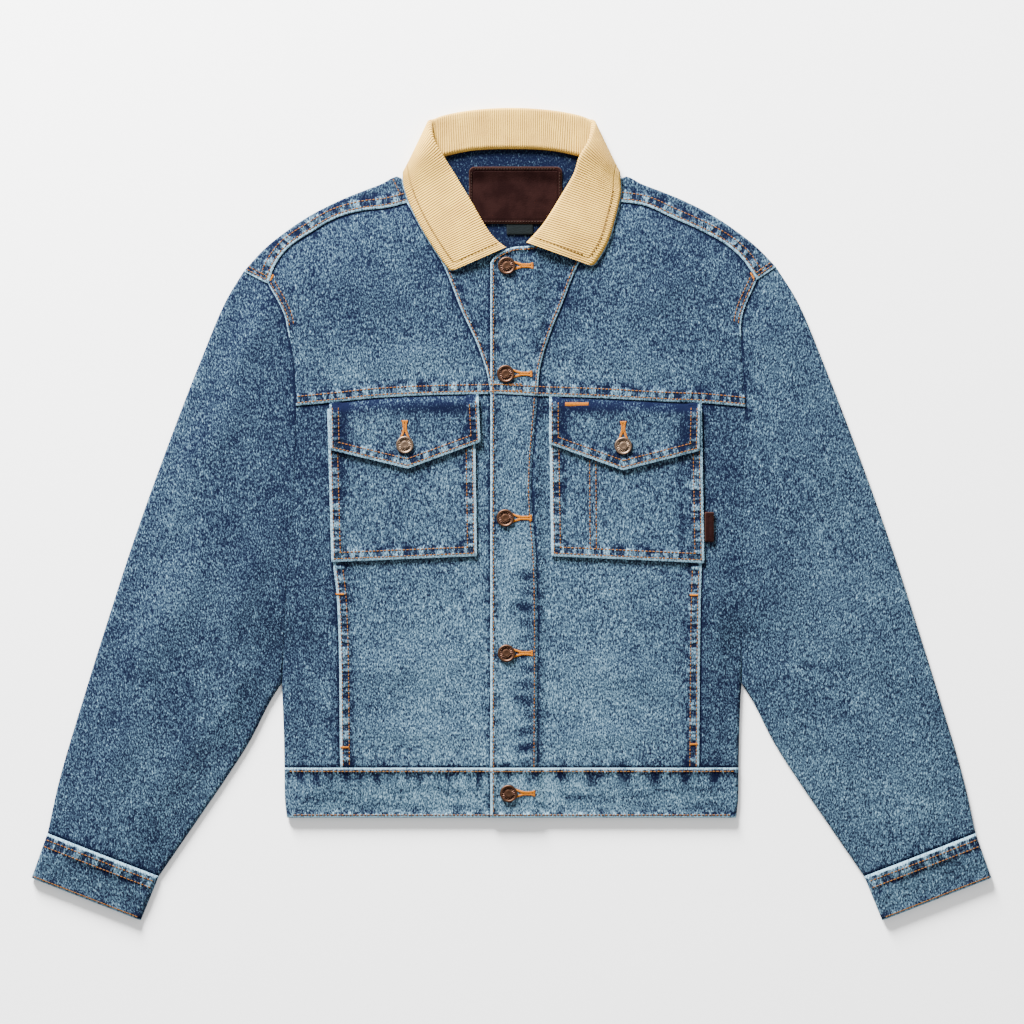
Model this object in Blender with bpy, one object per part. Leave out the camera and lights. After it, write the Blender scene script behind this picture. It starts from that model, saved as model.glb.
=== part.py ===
"""Denim trucker jacket with a corduroy collar, buttoned and laid flat, face up.

The frame is +X to the wearer's left, +Y towards the collar and +Z up, with the floor at Z = 0.
Tables hold millimetres: "out" is the distance from the centre line, and "drop" the distance
below the top of the collar. Right and left are the wearer's.
"""
import math

import bmesh
import bpy
from mathutils import Vector

# ---------------------------------------------------------------- driving dimensions, millimetres
HALF_LENGTH = 406.0  # half the drop from the collar's top to the cuffs' lowest corner
WALL = 1.4  # denim
AIR = 2.0  # between the back layer and the front layer
LAYER_TOP = 2 * WALL + AIR  # the front layer's face
SEAM_HALF = 0.15  # each piece stops this far short of its seam
STACK = 0.3  # between a panel and what is sewn on it
PATCH = 1.2  # pockets, flaps and labels
COLLAR_WALL = 1.0
RIGHT, LEFT = -1, 1

WAIST = 659.5  # drop of the waistband seam
HEM = 709.5
BACK_SEAM = 222.0  # drop of the seam under the back yoke, on the hidden side
LAP = {RIGHT: 14.0, LEFT: 21.0}  # how far each front passes the centre line
LAP_RISE = WALL + STACK  # the left front lies on the right one
LAP_FLAT, LAP_END = 24.0, 35.0  # out from the centre line, where the left front comes down again

COLLAR_GAP = 0.15  # half the gap between the top collar and the under collar
ROLL_RADIUS = 1.8  # of the fold's middle surface
COLLAR_HALF = COLLAR_GAP + COLLAR_WALL
TUCK_DROP, TUCK_FALL, TUCK_OUT = 55.0, 17.5, 107.0  # hidden edge of the fall, under the yoke
TUCK_LIFT = 2 * COLLAR_HALF + STACK  # the yoke lies on the tucked fall
TUCK_LEVEL, TUCK_RAMP = 2.0, 20.0  # how far past that edge the yoke stays up, and is down again
RAMP_STEP = (TUCK_RAMP - TUCK_LEVEL) / 4
YOKE_BACK_POINTS = 8  # of the yoke's hidden layer, up to the fold

BUTTON_RADIUS = 8.8
BUTTON_SIDES = 16

# ------------------------------------------------------------------- pattern tables (out, drop)
# The shoulder fold is the outline from the neck point to the sleeve. It dips under the collar.
SHOULDER_FOLD = [(84, 70), (100, 75.5), (106, 76), (110, 70.5), (113, 68.3), (130, 76), (151, 84),
                 (170.5, 92), (202, 108), (226, 124), (246, 140)]
BACK_NECK = [(0, 39), (22, 39.3), (43, 41), (66, 46), (78, 56), (84, 70)]

YOKE_TIP = {RIGHT: (267.5, 163), LEFT: (264, 158.5)}
SHOULDER_SEAM = {
    RIGHT: [(78, 90), (104.5, 95), (124.5, 100), (149.5, 103), (174.5, 110), (199.5, 124),
            (224.5, 141.5), (236.5, 158), (243, 176)],
    LEFT: [(78, 90), (104.5, 93.5), (133.5, 98), (160.5, 110), (189.5, 123), (214.5, 137),
           (229.5, 150), (245, 172)],
}
ARMHOLE = {  # shoulder seam, back yoke seam, front yoke seam, crotch
    RIGHT: [(243, 176), (226.5, 208), (223.6, 222), (217.5, 251), (215, 298), (217, 375),
            (224, 470), (229.5, 575)],
    LEFT: [(245, 172), (230.5, 207), (229, 222), (231, 262), (233.5, 299), (232, 375),
           (231, 470), (230, 575)],
}
V_SEAM = {
    RIGHT: [(21, 286), (24.5, 265), (35.5, 234), (49, 205), (68, 158), (86.5, 126), (104.5, 95)],
    LEFT: [(26, 288), (28.5, 261), (36.5, 232), (51.5, 194), (66, 158), (88.5, 124),
           (104.5, 93.5)],
}
FRONT_YOKE_SEAM = {
    RIGHT: [(-LAP[RIGHT], 285.5), (21, 286), (74.5, 287), (135.5, 290), (180, 294.6), (215, 298)],
    LEFT: [(-LAP[LEFT], 285.5), (26, 288), (84.5, 290), (160.5, 294), (190, 295), (233.5, 299)],
}
FRONT_NECK = {
    RIGHT: [(-LAP[RIGHT], 144.5), (12, 143), (32, 136), (60, 115), (78, 90)],
    LEFT: [(-LAP[LEFT], 155), (-16.5, 148.5), (-8.5, 143.6), (0, 140), (24.5, 137), (43, 126),
           (67, 106), (78, 90)],
}
WELT_SEAM = {  # from the front yoke seam to the waistband
    RIGHT: [(180, 294.6), (178, 456), (174.5, 488), (171, WAIST)],
    LEFT: [(190, 295), (190, 457), (189, 488), (187.3, WAIST)],
}
PLACKET_SEAM = [(26, 288), (20, 379), (25, 460), (25.5, WAIST)]
BODY_SIDE = [(229.5, 575), (227.5, 632), (227, WAIST)]
BAND_SIDE = [(227, WAIST), (226.5, 692), (224.5, HEM)]
SLEEVE_OUTER = [(285, 192), (310.5, 252), (341.5, 332), (377.5, 432), (403.5, 512), (428.5, 592),
                (452, 672), (463.8, 725)]
SLEEVE_INNER = [(240.5, 592), (261, 632), (286.5, 672), (314, 712), (352.5, 768)]
CUFF_CORNERS = {"outer": (479.7, 769.5), "inner": (370.5, 2 * HALF_LENGTH)}

# Collar sections from the front end to the back. The roll is the fold's outline, and turn is
# the side that the fall lies on: 90 above the stand, 0 beside it, -90 under it. Each place is
# out, drop and height: of the roll (the middle of its fold), the outer edge and the neck seam.
COLLAR_FRONT = {
    RIGHT: [((5.8, 139.6, 6.2), (60.5, 164, 6.3), (11, 142, 4.4), 90),
            ((21.5, 125, 6.2), (72.5, 148, 6.3), (31, 135, 4.4), 90),
            ((42, 90.5, 6.2), (89.5, 121, 6.3), (59, 114, 4.4), 90),
            ((57.5, 65, 8.4), (102.5, 94, 6.6), (75, 92, 4.9), 90),
            ((67.5, 49, 10.4), (107.8, 77, 7.4), (79.5, 79, 5.6), 88)],
    LEFT: [((14.9, 135, 7.8), (81.5, 159, 6.3), (22, 134.5, 5.8), 90),
           ((32, 115.5, 6.7), (96, 135, 6.3), (42, 122.5, 4.7), 90),
           ((51, 85, 6.2), (105, 105, 6.3), (66, 104, 4.4), 90),
           ((62, 66, 8.4), (109, 86, 6.9), (75, 92, 4.9), 90),
           ((67.5, 49, 10.4), (109, 76, 7.4), (79.5, 79, 5.6), 88)],
}
COLLAR_BACK = [((76.5, 33, 11.2), (108.3, 68.5, 7.4), (84.5, 68.5, 8.2), 65),
               ((81, 14.5, 7.4), (107, 64, 4.4), (86, 60, 6.5), 0),
               ((77, 11, 3.7), (104, 70.5, 1.7), (80, 54, 5.6), -65),
               ((66, 7, 2.95), (84, 65.8, 1.15), (66, 48.5, 5.5), -90),
               ((45, 3, 2.95), (60, 60.5, 1.15), (43, 43.5, 5.5), -90),
               ((22, 0.7, 2.95), (30, 56.4, 1.15), (22, 41.7, 5.5), -90),
               ((0, 0, 2.95), (0, 55, 1.15), (0, 41.4, 5.5), -90)]
LEAF_ARCH = 1.2  # how far the fall arches up where it lies over the stand

POCKET = {  # four corners: top outer, bottom outer, bottom inner, top inner
    RIGHT: [(184, 301), (179.8, 454), (34.5, 448), (36.5, 301)],
    LEFT: [(190, 301), (192.5, 455), (39.8, 448), (37.5, 301)],
}
FLAP = {  # outer top, outer bottom, point, inner bottom, inner top
    RIGHT: [(182, 299.5), (181.2, 342), (103.5, 360.6), (31, 334), (33, 292)],
    LEFT: [(188.5, 299.5), (187.5, 343), (111.2, 362.3), (37.5, 336), (37.5, 293.5)],
}
FRONT_BUTTONS = [(-4.8, 158), (-5.8, 266), (-6.2, 410), (-5.1, 545), (-2.9, 685)]
FLAP_BUTTONS = {RIGHT: (106.5, 337), LEFT: (111.5, 338)}
NECK_LABEL = {"half_width": 46.5, "centre": 4.0, "top": 59.0, "bottom": 116.0}
SIZE_TAB = {"low": -4.9, "high": 21.5, "top": 116.6, "bottom": 127.0}
SIDE_TAB = {"inner": 192.9, "outer": 202.0, "top": 404.0, "bottom": 434.0}

# Soft creases of the sleeves: out and drop of the middle, heading in degrees from +X, the
# half length, the half width, and the height.
SLEEVE_CREASES = [(262, 235, -62, 75, 17, 1.3), (300, 330, -52, 85, 20, 1.2),
                  (262, 470, -70, 90, 16, 1.0), (350, 520, -58, 95, 22, 1.3),
                  (395, 650, -64, 80, 18, 1.1), (330, 655, -55, 60, 15, 0.9)]

PALETTE = {  # colour, roughness, metallic
    "denim": ((0.11, 0.19, 0.32, 1), 0.9, 0.0),
    "denim_dark": ((0.03, 0.05, 0.10, 1), 0.9, 0.0),
    "corduroy": ((0.74, 0.56, 0.31, 1), 0.95, 0.0),
    "leather": ((0.045, 0.014, 0.010, 1), 0.6, 0.0),
    "tab": ((0.01, 0.013, 0.022, 1), 0.8, 0.0),
    "copper": ((0.17, 0.09, 0.055, 1), 0.4, 1.0),
    "brass": ((0.36, 0.30, 0.23, 1), 0.35, 1.0),
}


# -------------------------------------------------------------------------------- small helpers
def plan(side, out, drop):
    """A pattern point, in millimetres of the part's frame."""
    return Vector((side * out, HALF_LENGTH - drop))


def smooth(value):
    value = min(1.0, max(0.0, value))
    return value * value * (3 - 2 * value)


def tuck(x, drop):
    """1 where the collar's fall is tucked under the yoke, 0 away from it."""
    reach = min(abs(x), TUCK_OUT)
    below = max(drop - TUCK_DROP - TUCK_FALL * (reach / TUCK_OUT) ** 2, 0.0)
    past = math.hypot(below, abs(x) - reach)
    return smooth((TUCK_RAMP - past) / (TUCK_RAMP - TUCK_LEVEL))


def creases(x, drop):
    """How far the sleeve's top layer is pushed up, on either side."""
    rise = 0.0
    for out, low, heading, half_length, half_width, height in SLEEVE_CREASES:
        along = Vector((math.cos(math.radians(heading)), -math.sin(math.radians(heading))))
        off = Vector((abs(x) - out, drop - low))
        run = off.dot(along) / half_length
        side = (off.x * along.y - off.y * along.x) / half_width
        if abs(run) < 1:
            rise += height * (1 - smooth(abs(run))) * math.exp(-side * side)
    return rise


def lap(x):
    """1 where the left front lies on the right one."""
    return smooth((LAP_END - x) / (LAP_END - LAP_FLAT))


def back_face(point):
    return TUCK_LIFT * tuck(point.x, HALF_LENGTH - point.y)


def front_face(point):
    """The right front's face, and the left front's where it isn't lapped."""
    raised = TUCK_LIFT + STACK - AIR
    return LAYER_TOP + raised * tuck(point.x, HALF_LENGTH - point.y)


def left_front_face(point):
    return front_face(point) + LAP_RISE * lap(point.x)


def sleeve_face(point):
    return LAYER_TOP + creases(point.x, HALF_LENGTH - point.y)


def material(name):
    found = bpy.data.materials.get(name)
    if found:
        return found
    colour, roughness, metallic = PALETTE[name]
    made = bpy.data.materials.new(name)
    made.use_nodes = True
    shader = made.node_tree.nodes["Principled BSDF"]
    shader.inputs["Base Color"].default_value = colour
    shader.inputs["Roughness"].default_value = roughness
    shader.inputs["Metallic"].default_value = metallic
    return made


def keep(name, bm, finish, sharp=None):
    """Turn a finished bmesh in millimetres into a named object in metres."""
    bmesh.ops.remove_doubles(bm, verts=bm.verts, dist=0.002)
    bmesh.ops.scale(bm, vec=(0.001, 0.001, 0.001), verts=bm.verts)
    bmesh.ops.recalc_face_normals(bm, faces=bm.faces)
    mesh = bpy.data.meshes.new(name)
    bm.to_mesh(mesh)
    bm.free()
    piece = bpy.data.objects.new(name, mesh)
    bpy.context.collection.objects.link(piece)
    mesh.materials.append(material(finish))
    if sharp:
        mesh.shade_smooth()
        mesh.set_sharp_from_angle(angle=math.radians(sharp))
    return piece


def wall(name, patches, finish):
    """A closed wall. Each patch is a grid of outer points with its grid of inner points.

    Patches join where their points meet, and every free edge gets a rim.
    """
    bm = bmesh.new()
    known, partner = {}, {}

    def vertex(outer, inner):
        key = tuple(round(value, 2) for value in outer)
        if key not in known:
            known[key] = bm.verts.new(outer)
            partner[known[key]] = bm.verts.new(inner)
        return known[key]

    for outer, inner in patches:
        grid = [[vertex(o, i) for o, i in zip(*rows)] for rows in zip(outer, inner)]
        for low, high in zip(grid, grid[1:]):
            for a, b, c, d in zip(low, low[1:], high[1:], high):
                for corners in ((a, b, c), (a, c, d)):  # the same diagonal in every wall
                    if len(set(corners)) == 3:
                        bm.faces.new(corners)
                        bm.faces.new([partner[v] for v in reversed(corners)])
    outer_edges = [e for e in bm.edges if e.is_boundary and e.verts[0] in partner]
    for edge in outer_edges:
        a, b = edge.verts
        bm.faces.new((a, b, partner[b], partner[a]))
    return keep(name, bm, finish, sharp=40)


# ------------------------------------------------------------------------ lines and flat panels
def shares(line):
    """How far along a line each of its points is, from 0 to 1."""
    run = [0.0]
    for a, b in zip(line, line[1:]):
        run.append(run[-1] + (b - a).length)
    return [r / run[-1] for r in run]


def along(line, marks, share):
    """The point at a share of the way along a line, whose points are at the given marks."""
    for (a, b), (low, high) in zip(zip(line, line[1:]), zip(marks, marks[1:])):
        if share <= high + 1e-9:
            return a.lerp(b, (share - low) / (high - low))
    return line[-1].copy()


def matched(first, second, spans):
    """Shares that hold every point of both lines, and more where a gap is over one span."""
    marks = sorted(set(round(s, 5) for s in shares(first) + shares(second)))
    marks = [m for m, n in zip(marks, marks[1:]) if n - m > 0.004 or m == 0.0] + [1.0]
    out = []
    for low, high in zip(marks, marks[1:]):
        pieces = max(1, round((high - low) * spans))
        out += [low + (high - low) * k / pieces for k in range(pieces)]
    return out + [1.0]


def inset(ring, gaps):
    """Move each side of a closed outline inwards by its own gap."""
    area = sum(a.x * b.y - b.x * a.y for a, b in zip(ring, ring[1:] + ring[:1]))
    turn = 1 if area > 0 else -1
    count = len(ring)
    normals = []
    for i in range(count):
        step = (ring[(i + 1) % count] - ring[i]).normalized()
        normals.append(Vector((-step.y, step.x)) * turn)
    moved = []
    for i, point in enumerate(ring):
        a, b, gap_a, gap_b = normals[i - 1], normals[i], gaps[i - 1], gaps[i]
        cross = a.x * b.y - a.y * b.x
        if abs(cross) < 0.05:
            shift = (a + b).normalized() * max(gap_a, gap_b)
        else:
            shift = Vector(((gap_a * b.y - gap_b * a.y) / cross,
                            (gap_b * a.x - gap_a * b.x) / cross))
        moved.append(point + shift)
    return moved


def curl(radius, steps=2):
    """Turned-down edge: offsets and heights of the outer and the inner wall, edge first."""
    out = []
    for k in range(steps + 1):
        angle = math.radians(90) * k / steps
        bend = 1 - math.cos(angle)
        rise = math.sin(angle)
        out.append((radius * bend, max(radius * rise, SEAM_HALF),
                    WALL + (radius - WALL) * bend, max((radius - WALL) * rise, SEAM_HALF)))
    return out


def panel(name, bottom, right, top, left, face, below=None, spans=(4, 4), folds=(None, None),
          gaps=(SEAM_HALF,) * 4, finish="denim", thick=WALL, flip=False, stops=()):
    """A cloth wall on four lines. bottom and top run the same way, and so do left and right.

    face gives the height of the outer side. A fold, for the left or the right side, gives how
    much that edge turns to meet the other layer, whose face is below. stops are places for
    more columns, in millimetres from the left side.
    """
    us, vs = matched(bottom, top, spans[0]), matched(left, right, spans[1])
    length = sum((b - a).length for a, b in zip(bottom, bottom[1:]))
    us = sorted(us + [stop / length for stop in stops])
    lines = []
    for line, marks in ((bottom, us), (right, vs), (top, us), (left, vs)):
        lines.append([along(line, shares(line), m) for m in marks])
    bottom, right, top, left = lines
    ring = bottom[:-1] + right[:-1] + top[:0:-1] + left[:0:-1]
    side_gaps = ([gaps[0]] * (len(us) - 1) + [gaps[1]] * (len(vs) - 1)
                 + [gaps[2]] * (len(us) - 1) + [gaps[3]] * (len(vs) - 1))
    ring = inset(ring, side_gaps)
    nu, nv = len(us) - 1, len(vs) - 1
    bottom = ring[:nu + 1]
    right = ring[nu:nu + nv + 1]
    top = ring[nu + nv:2 * nu + nv + 1][::-1]
    left = (ring[2 * nu + nv:] + ring[:1])[::-1]

    def at(u, k):
        v = vs[k]
        b, t = along(bottom, us, u), along(top, us, u)
        blend = b.lerp(t, v) + left[k].lerp(right[k], u)
        return blend - bottom[0].lerp(bottom[-1], u).lerp(top[0].lerp(top[-1], u), v)

    sign = -1 if flip else 1
    outer, inner = [], []
    for k in range(nv + 1):
        width = max((right[k] - left[k]).length, 1.0)
        row_out, row_in = [], []
        for end in (0, 1):
            if end:
                middles = us[1:-1]
                for u in middles:
                    point = at(u, k)
                    height = face(point)
                    row_out.append((*point, height))
                    row_in.append((*point, height - sign * thick))
            fold = folds[end]
            if fold is None:
                point = at(end, k)
                height = face(point)
                row_out.append((*point, height))
                row_in.append((*point, height - sign * thick))
                continue
            edge = at(end, k)
            amount = fold(HALF_LENGTH - edge.y)
            height, other = face(edge), below(edge)
            middle, radius = (height + other) / 2, abs(height - other) / 2
            steps = curl(radius)
            for d_out, z_out, d_in, z_in in (reversed(steps) if end else steps):
                u_out = d_out / width
                u_in = (d_out + (d_in - d_out) * amount) / width
                p_out = at(1 - u_out if end else u_out, k)
                p_in = at(1 - u_in if end else u_in, k)
                h_out = height + (middle + sign * z_out - height) * amount
                flat_in = height - sign * thick
                h_in = flat_in + (middle + sign * z_in - flat_in) * amount
                row_out.append((*p_out, h_out))
                row_in.append((*p_in, h_in))
        outer.append(row_out)
        inner.append(row_in)
    return wall(name, [(outer, inner)], finish)


def pattern(side, table):
    return [plan(side, *row) for row in table]


def part_of(line, start, end):
    """The stretch of a pattern table from one row to another, both named by their drop."""
    drops = [row[1] for row in line]
    return line[drops.index(start):drops.index(end) + 1]


def always(_drop):
    return 1.0


def underarm(drop):
    """The sleeve and the body part below the armhole, where both turn down."""
    return smooth((drop - 320) / 90)


# ------------------------------------------------------------------------------ body and sleeves
def fronts():
    for side, word, face in ((RIGHT, "right", front_face), (LEFT, "left", left_front_face)):
        hole, yoke, v = ARMHOLE[side], FRONT_YOKE_SEAM[side], V_SEAM[side]
        shoulder, welt = SHOULDER_SEAM[side], WELT_SEAM[side]
        v_foot, welt_top, arm_end = v[0][1], welt[0][1], yoke[-1][1]
        panel(f"{word}_chest", pattern(side, part_of(yoke, v_foot, arm_end)),
              pattern(side, part_of(hole, hole[0][1], arm_end)[::-1]),
              pattern(side, shoulder[1:]), pattern(side, v), face, spans=(5, 5))
        neck = FRONT_NECK[side] + shoulder[1:2]
        centre = [yoke[0], neck[0]]
        panel(f"{word}_upper_band", pattern(side, yoke[:2]), pattern(side, v),
              pattern(side, neck), pattern(side, centre), face,
              spans=(10 if side == LEFT else 4, 5))
        front_line = [(-LAP[side], WAIST), yoke[0]]
        inner_edge, top_row = front_line, yoke
        if side == LEFT:
            inner_edge, top_row = PLACKET_SEAM[::-1], yoke[1:]
            foot = [front_line[0], PLACKET_SEAM[-1]]
            panel("left_lower_band", pattern(side, foot), pattern(side, PLACKET_SEAM[::-1]),
                  pattern(side, yoke[:2]), pattern(side, front_line), face, spans=(4, 6))
        foot = [inner_edge[0], welt[-1]]
        panel(f"{word}_front_panel", pattern(side, foot), pattern(side, welt[::-1]),
              pattern(side, part_of(top_row, top_row[0][1], welt_top)),
              pattern(side, inner_edge), face, spans=(5, 5),
              stops=(5, 11, 17) if side == LEFT else ())
        outer = (part_of(hole, arm_end, 575) + BODY_SIDE[1:])[::-1]
        panel(f"{word}_side_panel", pattern(side, [welt[-1], BODY_SIDE[-1]]),
              pattern(side, outer), pattern(side, part_of(yoke, welt_top, arm_end)),
              pattern(side, welt[::-1]), face, back_face, spans=(2, 6),
              folds=(None, underarm), gaps=(SEAM_HALF, 0.25, SEAM_HALF, SEAM_HALF))
        band = [(-LAP[side], HEM), (-LAP[side], WAIST)]
        panel(f"waistband_{word}", pattern(side, [band[0], BAND_SIDE[-1]]),
              pattern(side, BAND_SIDE[::-1]), pattern(side, [band[1], BAND_SIDE[0]]),
              pattern(side, band), face, back_face, spans=(6, 2), folds=(None, always),
              gaps=(0, 0, SEAM_HALF, 0),
              stops=(LAP[LEFT] + LAP_FLAT, LAP[LEFT] + LAP_END) if side == LEFT else ())


def back():
    sides = {}
    for side in (RIGHT, LEFT):
        line = part_of(ARMHOLE[side], BACK_SEAM, 575) + BODY_SIDE[1:]
        sides[side] = pattern(side, line[::-1])
    foot = [sides[RIGHT][0], sides[LEFT][0]]
    head = [sides[RIGHT][-1], sides[LEFT][-1]]
    panel("back_panel", foot, sides[LEFT], head, sides[RIGHT], back_face, front_face,
          spans=(8, 7), folds=(underarm, underarm), flip=True,
          gaps=(SEAM_HALF, 0.25, SEAM_HALF, 0.25))
    bands = {side: pattern(side, BAND_SIDE[::-1]) for side in (RIGHT, LEFT)}
    panel("waistband_back", [bands[RIGHT][0], bands[LEFT][0]], bands[LEFT],
          [bands[RIGHT][-1], bands[LEFT][-1]], bands[RIGHT], back_face, front_face,
          spans=(8, 2), folds=(always, always), flip=True, gaps=(0, 0, SEAM_HALF, 0))


def sleeve_lines(side):
    """The sleeve's outer fold and its inner line, both from the cuff to the shoulder."""
    inner = pattern(side, (ARMHOLE[side] + SLEEVE_INNER)[::-1])
    tip = YOKE_TIP[side]
    outer = pattern(side, ([tip] + SLEEVE_OUTER)[::-1])
    marks = shares(outer)
    return [along(outer, marks, s) for s in matched(inner, inner, 16)], inner


def sleeves():
    for side, word in ((RIGHT, "right"), (LEFT, "left")):
        outer, inner = sleeve_lines(side)
        foot, head = [outer[0], inner[0]], [outer[-1], inner[-1]]
        for layer, face, below, flip in (("top", sleeve_face, back_face, False),
                                         ("under", back_face, front_face, True)):
            panel(f"{word}_sleeve_{layer}", foot, inner, head, outer, face, below,
                  spans=(4, 16), folds=(always, underarm), flip=flip,
                  gaps=(SEAM_HALF, 0.25, SEAM_HALF, 0))


def cuffs():
    """Each cuff is a flattened tube, open at both ends."""
    turns = 4
    for side, word in ((RIGHT, "right"), (LEFT, "left")):
        ends = ((SLEEVE_OUTER[-1], SLEEVE_INNER[-1]),
                (CUFF_CORNERS["outer"], CUFF_CORNERS["inner"]))
        corners = [[plan(side, *row) for row in pair] for pair in ends]
        step = (corners[1][0] - corners[0][0]).normalized()
        corners[0] = [p + 2 * SEAM_HALF * step for p in corners[0]]
        radius = LAYER_TOP / 2
        outer, inner = [], []
        for share in (0.0, 0.2, 0.8, 1.0):
            a, b = (corners[0][i].lerp(corners[1][i], share) for i in (0, 1))
            across = (b - a).normalized()
            loops = ([], [])
            for centre, way in ((b - radius * across, 1), (a + radius * across, -1)):
                for k in range(turns + 1):
                    angle = math.radians(90 - 180 * k / turns)
                    for loop, r in zip(loops, (radius, radius - WALL)):
                        p = centre + across * (way * r * math.cos(angle))
                        loop.append((*p, radius + way * r * math.sin(angle)))
            outer.append(loops[0] + loops[0][:1])
            inner.append(loops[1] + loops[1][:1])
        wall(f"{word}_cuff", [(outer, inner)], "denim")


def yoke_back(back_point, knee, bend, ramp, away):
    """Points of the yoke's hidden layer, from the back seam up to where it lies on the fall."""
    line = [back_point, knee, bend]
    line += [ramp + away * RAMP_STEP * k for k in (4, 3, 2, 1, 0)]
    return line


def layer(points, face, inwards):
    """Outer and inner points of a flat stretch of a layer."""
    outer = [(*p, face(p)) for p in points]
    inner = [(*p, face(p) + inwards * WALL) for p in points]
    return outer, inner


def yoke_section(back_point, knee, bend, tip, front_point):
    """One section of the yoke, from the back seam round the shoulder fold to the front seam."""
    away = ((bend - tip).normalized() + (front_point - tip).normalized()).normalized()
    low, high = back_face(tip), front_face(tip)
    radius, middle = (high - low) / 2, (high + low) / 2
    start = tip + away * radius
    outer, inner = layer(yoke_back(back_point, knee, bend, start, away)[:-1], back_face, 1)
    for k in range(5):
        angle = math.radians(-90 + 45 * k)
        for points, r in ((outer, radius), (inner, radius - WALL)):
            p = tip + away * (radius - r * math.cos(angle))
            points.append((*p, middle + r * math.sin(angle)))
    front = layer([start.lerp(front_point, share) for share in (0.5, 1.0)], front_face, -1)
    return outer + front[0], inner + front[1]


def back_yoke():
    """One piece: the hidden yoke, wrapped over both shoulders to the forward seams."""
    patches, joins = [], {}
    for side in (RIGHT, LEFT):
        outer, inner = [], []
        seam, arm = pattern(side, SHOULDER_SEAM[side]), pattern(side, ARMHOLE[side][:3])
        fold = pattern(side, SHOULDER_FOLD + [YOKE_TIP[side]])
        seam_marks, fold_marks = shares(seam), shares(fold)
        for share in matched(fold, seam, 6):
            tip, front_point = along(fold, fold_marks, share), along(seam, seam_marks, share)
            back_point = plan(side, fold[0].x * side, BACK_SEAM).lerp(arm[2], share)
            sewn = smooth((share - 0.75) / 0.25)  # 1 where the column is the armhole's own edge
            bend = back_point.lerp(tip, 0.6).lerp(arm[0], sewn)
            knee = back_point.lerp(tip, 0.3).lerp(arm[1], sewn)
            if share == 1.0:
                clear = Vector((-side, 1)) * 1.4 * SEAM_HALF
                tip, front_point, back_point, bend, knee = (
                    p + clear for p in (tip, front_point, back_point, bend, knee))
            front_point = front_point + (tip - front_point).normalized() * SEAM_HALF
            back_point = back_point + Vector((0, SEAM_HALF))
            section = yoke_section(back_point, knee, bend, tip, front_point)
            if not outer:
                joins[side] = section
            outer.append(section[0])
            inner.append(section[1])
        patches.append((outer, inner))
    outer, inner = [], []
    for side, table in ((RIGHT, BACK_NECK[::-1]), (LEFT, BACK_NECK[1:])):
        for out, drop in table:
            if drop == BACK_NECK[-1][1]:
                for grid, line in zip((outer, inner), joins[side]):
                    grid.append(line[:YOKE_BACK_POINTS] + [line[YOKE_BACK_POINTS - 1]])
                continue
            hidden = TUCK_DROP + TUCK_FALL * (out / TUCK_OUT) ** 2 + TUCK_LEVEL
            ramp, foot = plan(side, out, hidden), plan(side, out, BACK_SEAM - SEAM_HALF)
            line = yoke_back(foot, foot.lerp(ramp, 0.3), foot.lerp(ramp, 0.6), ramp,
                             Vector((0, -1)))
            points = layer(line + [plan(side, out, drop)], back_face, 1)
            outer.append(points[0])
            inner.append(points[1])
    patches.append((outer, inner))
    wall("back_yoke", patches, "denim")


# ---------------------------------------------------------------------------------------- collar
def spline(rows, share):
    """A smooth curve through rows of numbers, at a share counted in rows."""
    last = len(rows) - 1
    i = min(int(share), last - 1)
    t = share - i
    near = [rows[max(0, min(last, i + k))] for k in (-1, 0, 1, 2)]
    out = []
    for a, b, c, d in zip(*near):
        out.append(0.5 * (2 * b + (c - a) * t + (2 * a - 5 * b + 4 * c - d) * t * t
                          + (3 * b - a - 3 * c + d) * t ** 3))
    return out


def collar_rows():
    """Signed sections from the right front end, round the back, to the left front end."""
    def signed(side, rows):
        return [[value for out, drop, height in row[:3] for value in (side * out, drop, height)]
                + [row[3]] for row in rows]

    right = signed(RIGHT, COLLAR_FRONT[RIGHT] + COLLAR_BACK)
    left = signed(LEFT, COLLAR_FRONT[LEFT] + COLLAR_BACK[:-1])
    return right + left[::-1]


def on_floor(row):
    """Keep the fall's hidden part from dipping through the floor between two rows."""
    row[2] = max(row[2], ROLL_RADIUS + COLLAR_HALF)
    row[5] = max(row[5], COLLAR_HALF)
    return row


def collar_section(row):
    """Points of the collar's middle surface and the way each faces, from the seam to the edge."""
    roll, edge, seam = (Vector((row[i], HALF_LENGTH - row[i + 1], row[i + 2])) for i in (0, 3, 6))
    turn = math.radians(max(-90.0, min(90.0, row[9])))
    ahead = (roll - (seam + edge) / 2) * Vector((1, 1, 0))
    ahead.normalize()
    beside = Vector((ahead.y, -ahead.x, 0))
    if beside.dot(edge - seam) < 0:
        beside = -beside
    to_fall = beside * math.cos(turn) + Vector((0, 0, math.sin(turn)))
    hub = roll - ahead * (ROLL_RADIUS + COLLAR_HALF)
    stand, fall = hub - to_fall * ROLL_RADIUS, hub + to_fall * ROLL_RADIUS
    places = [(seam.lerp(stand, k / 2), -to_fall) for k in range(2)]
    for k in range(5):
        angle = math.radians(45 * k)
        facing = ahead * math.sin(angle) - to_fall * math.cos(angle)
        places.append((hub + facing * ROLL_RADIUS, facing))
    arch = Vector((0, 0, LEAF_ARCH * max(0.0, math.sin(turn))))
    for share in (0.3, 0.65, 1.0):
        places.append((fall.lerp(edge, share) + arch * 4 * share * (1 - share), to_fall))
    return places


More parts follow.
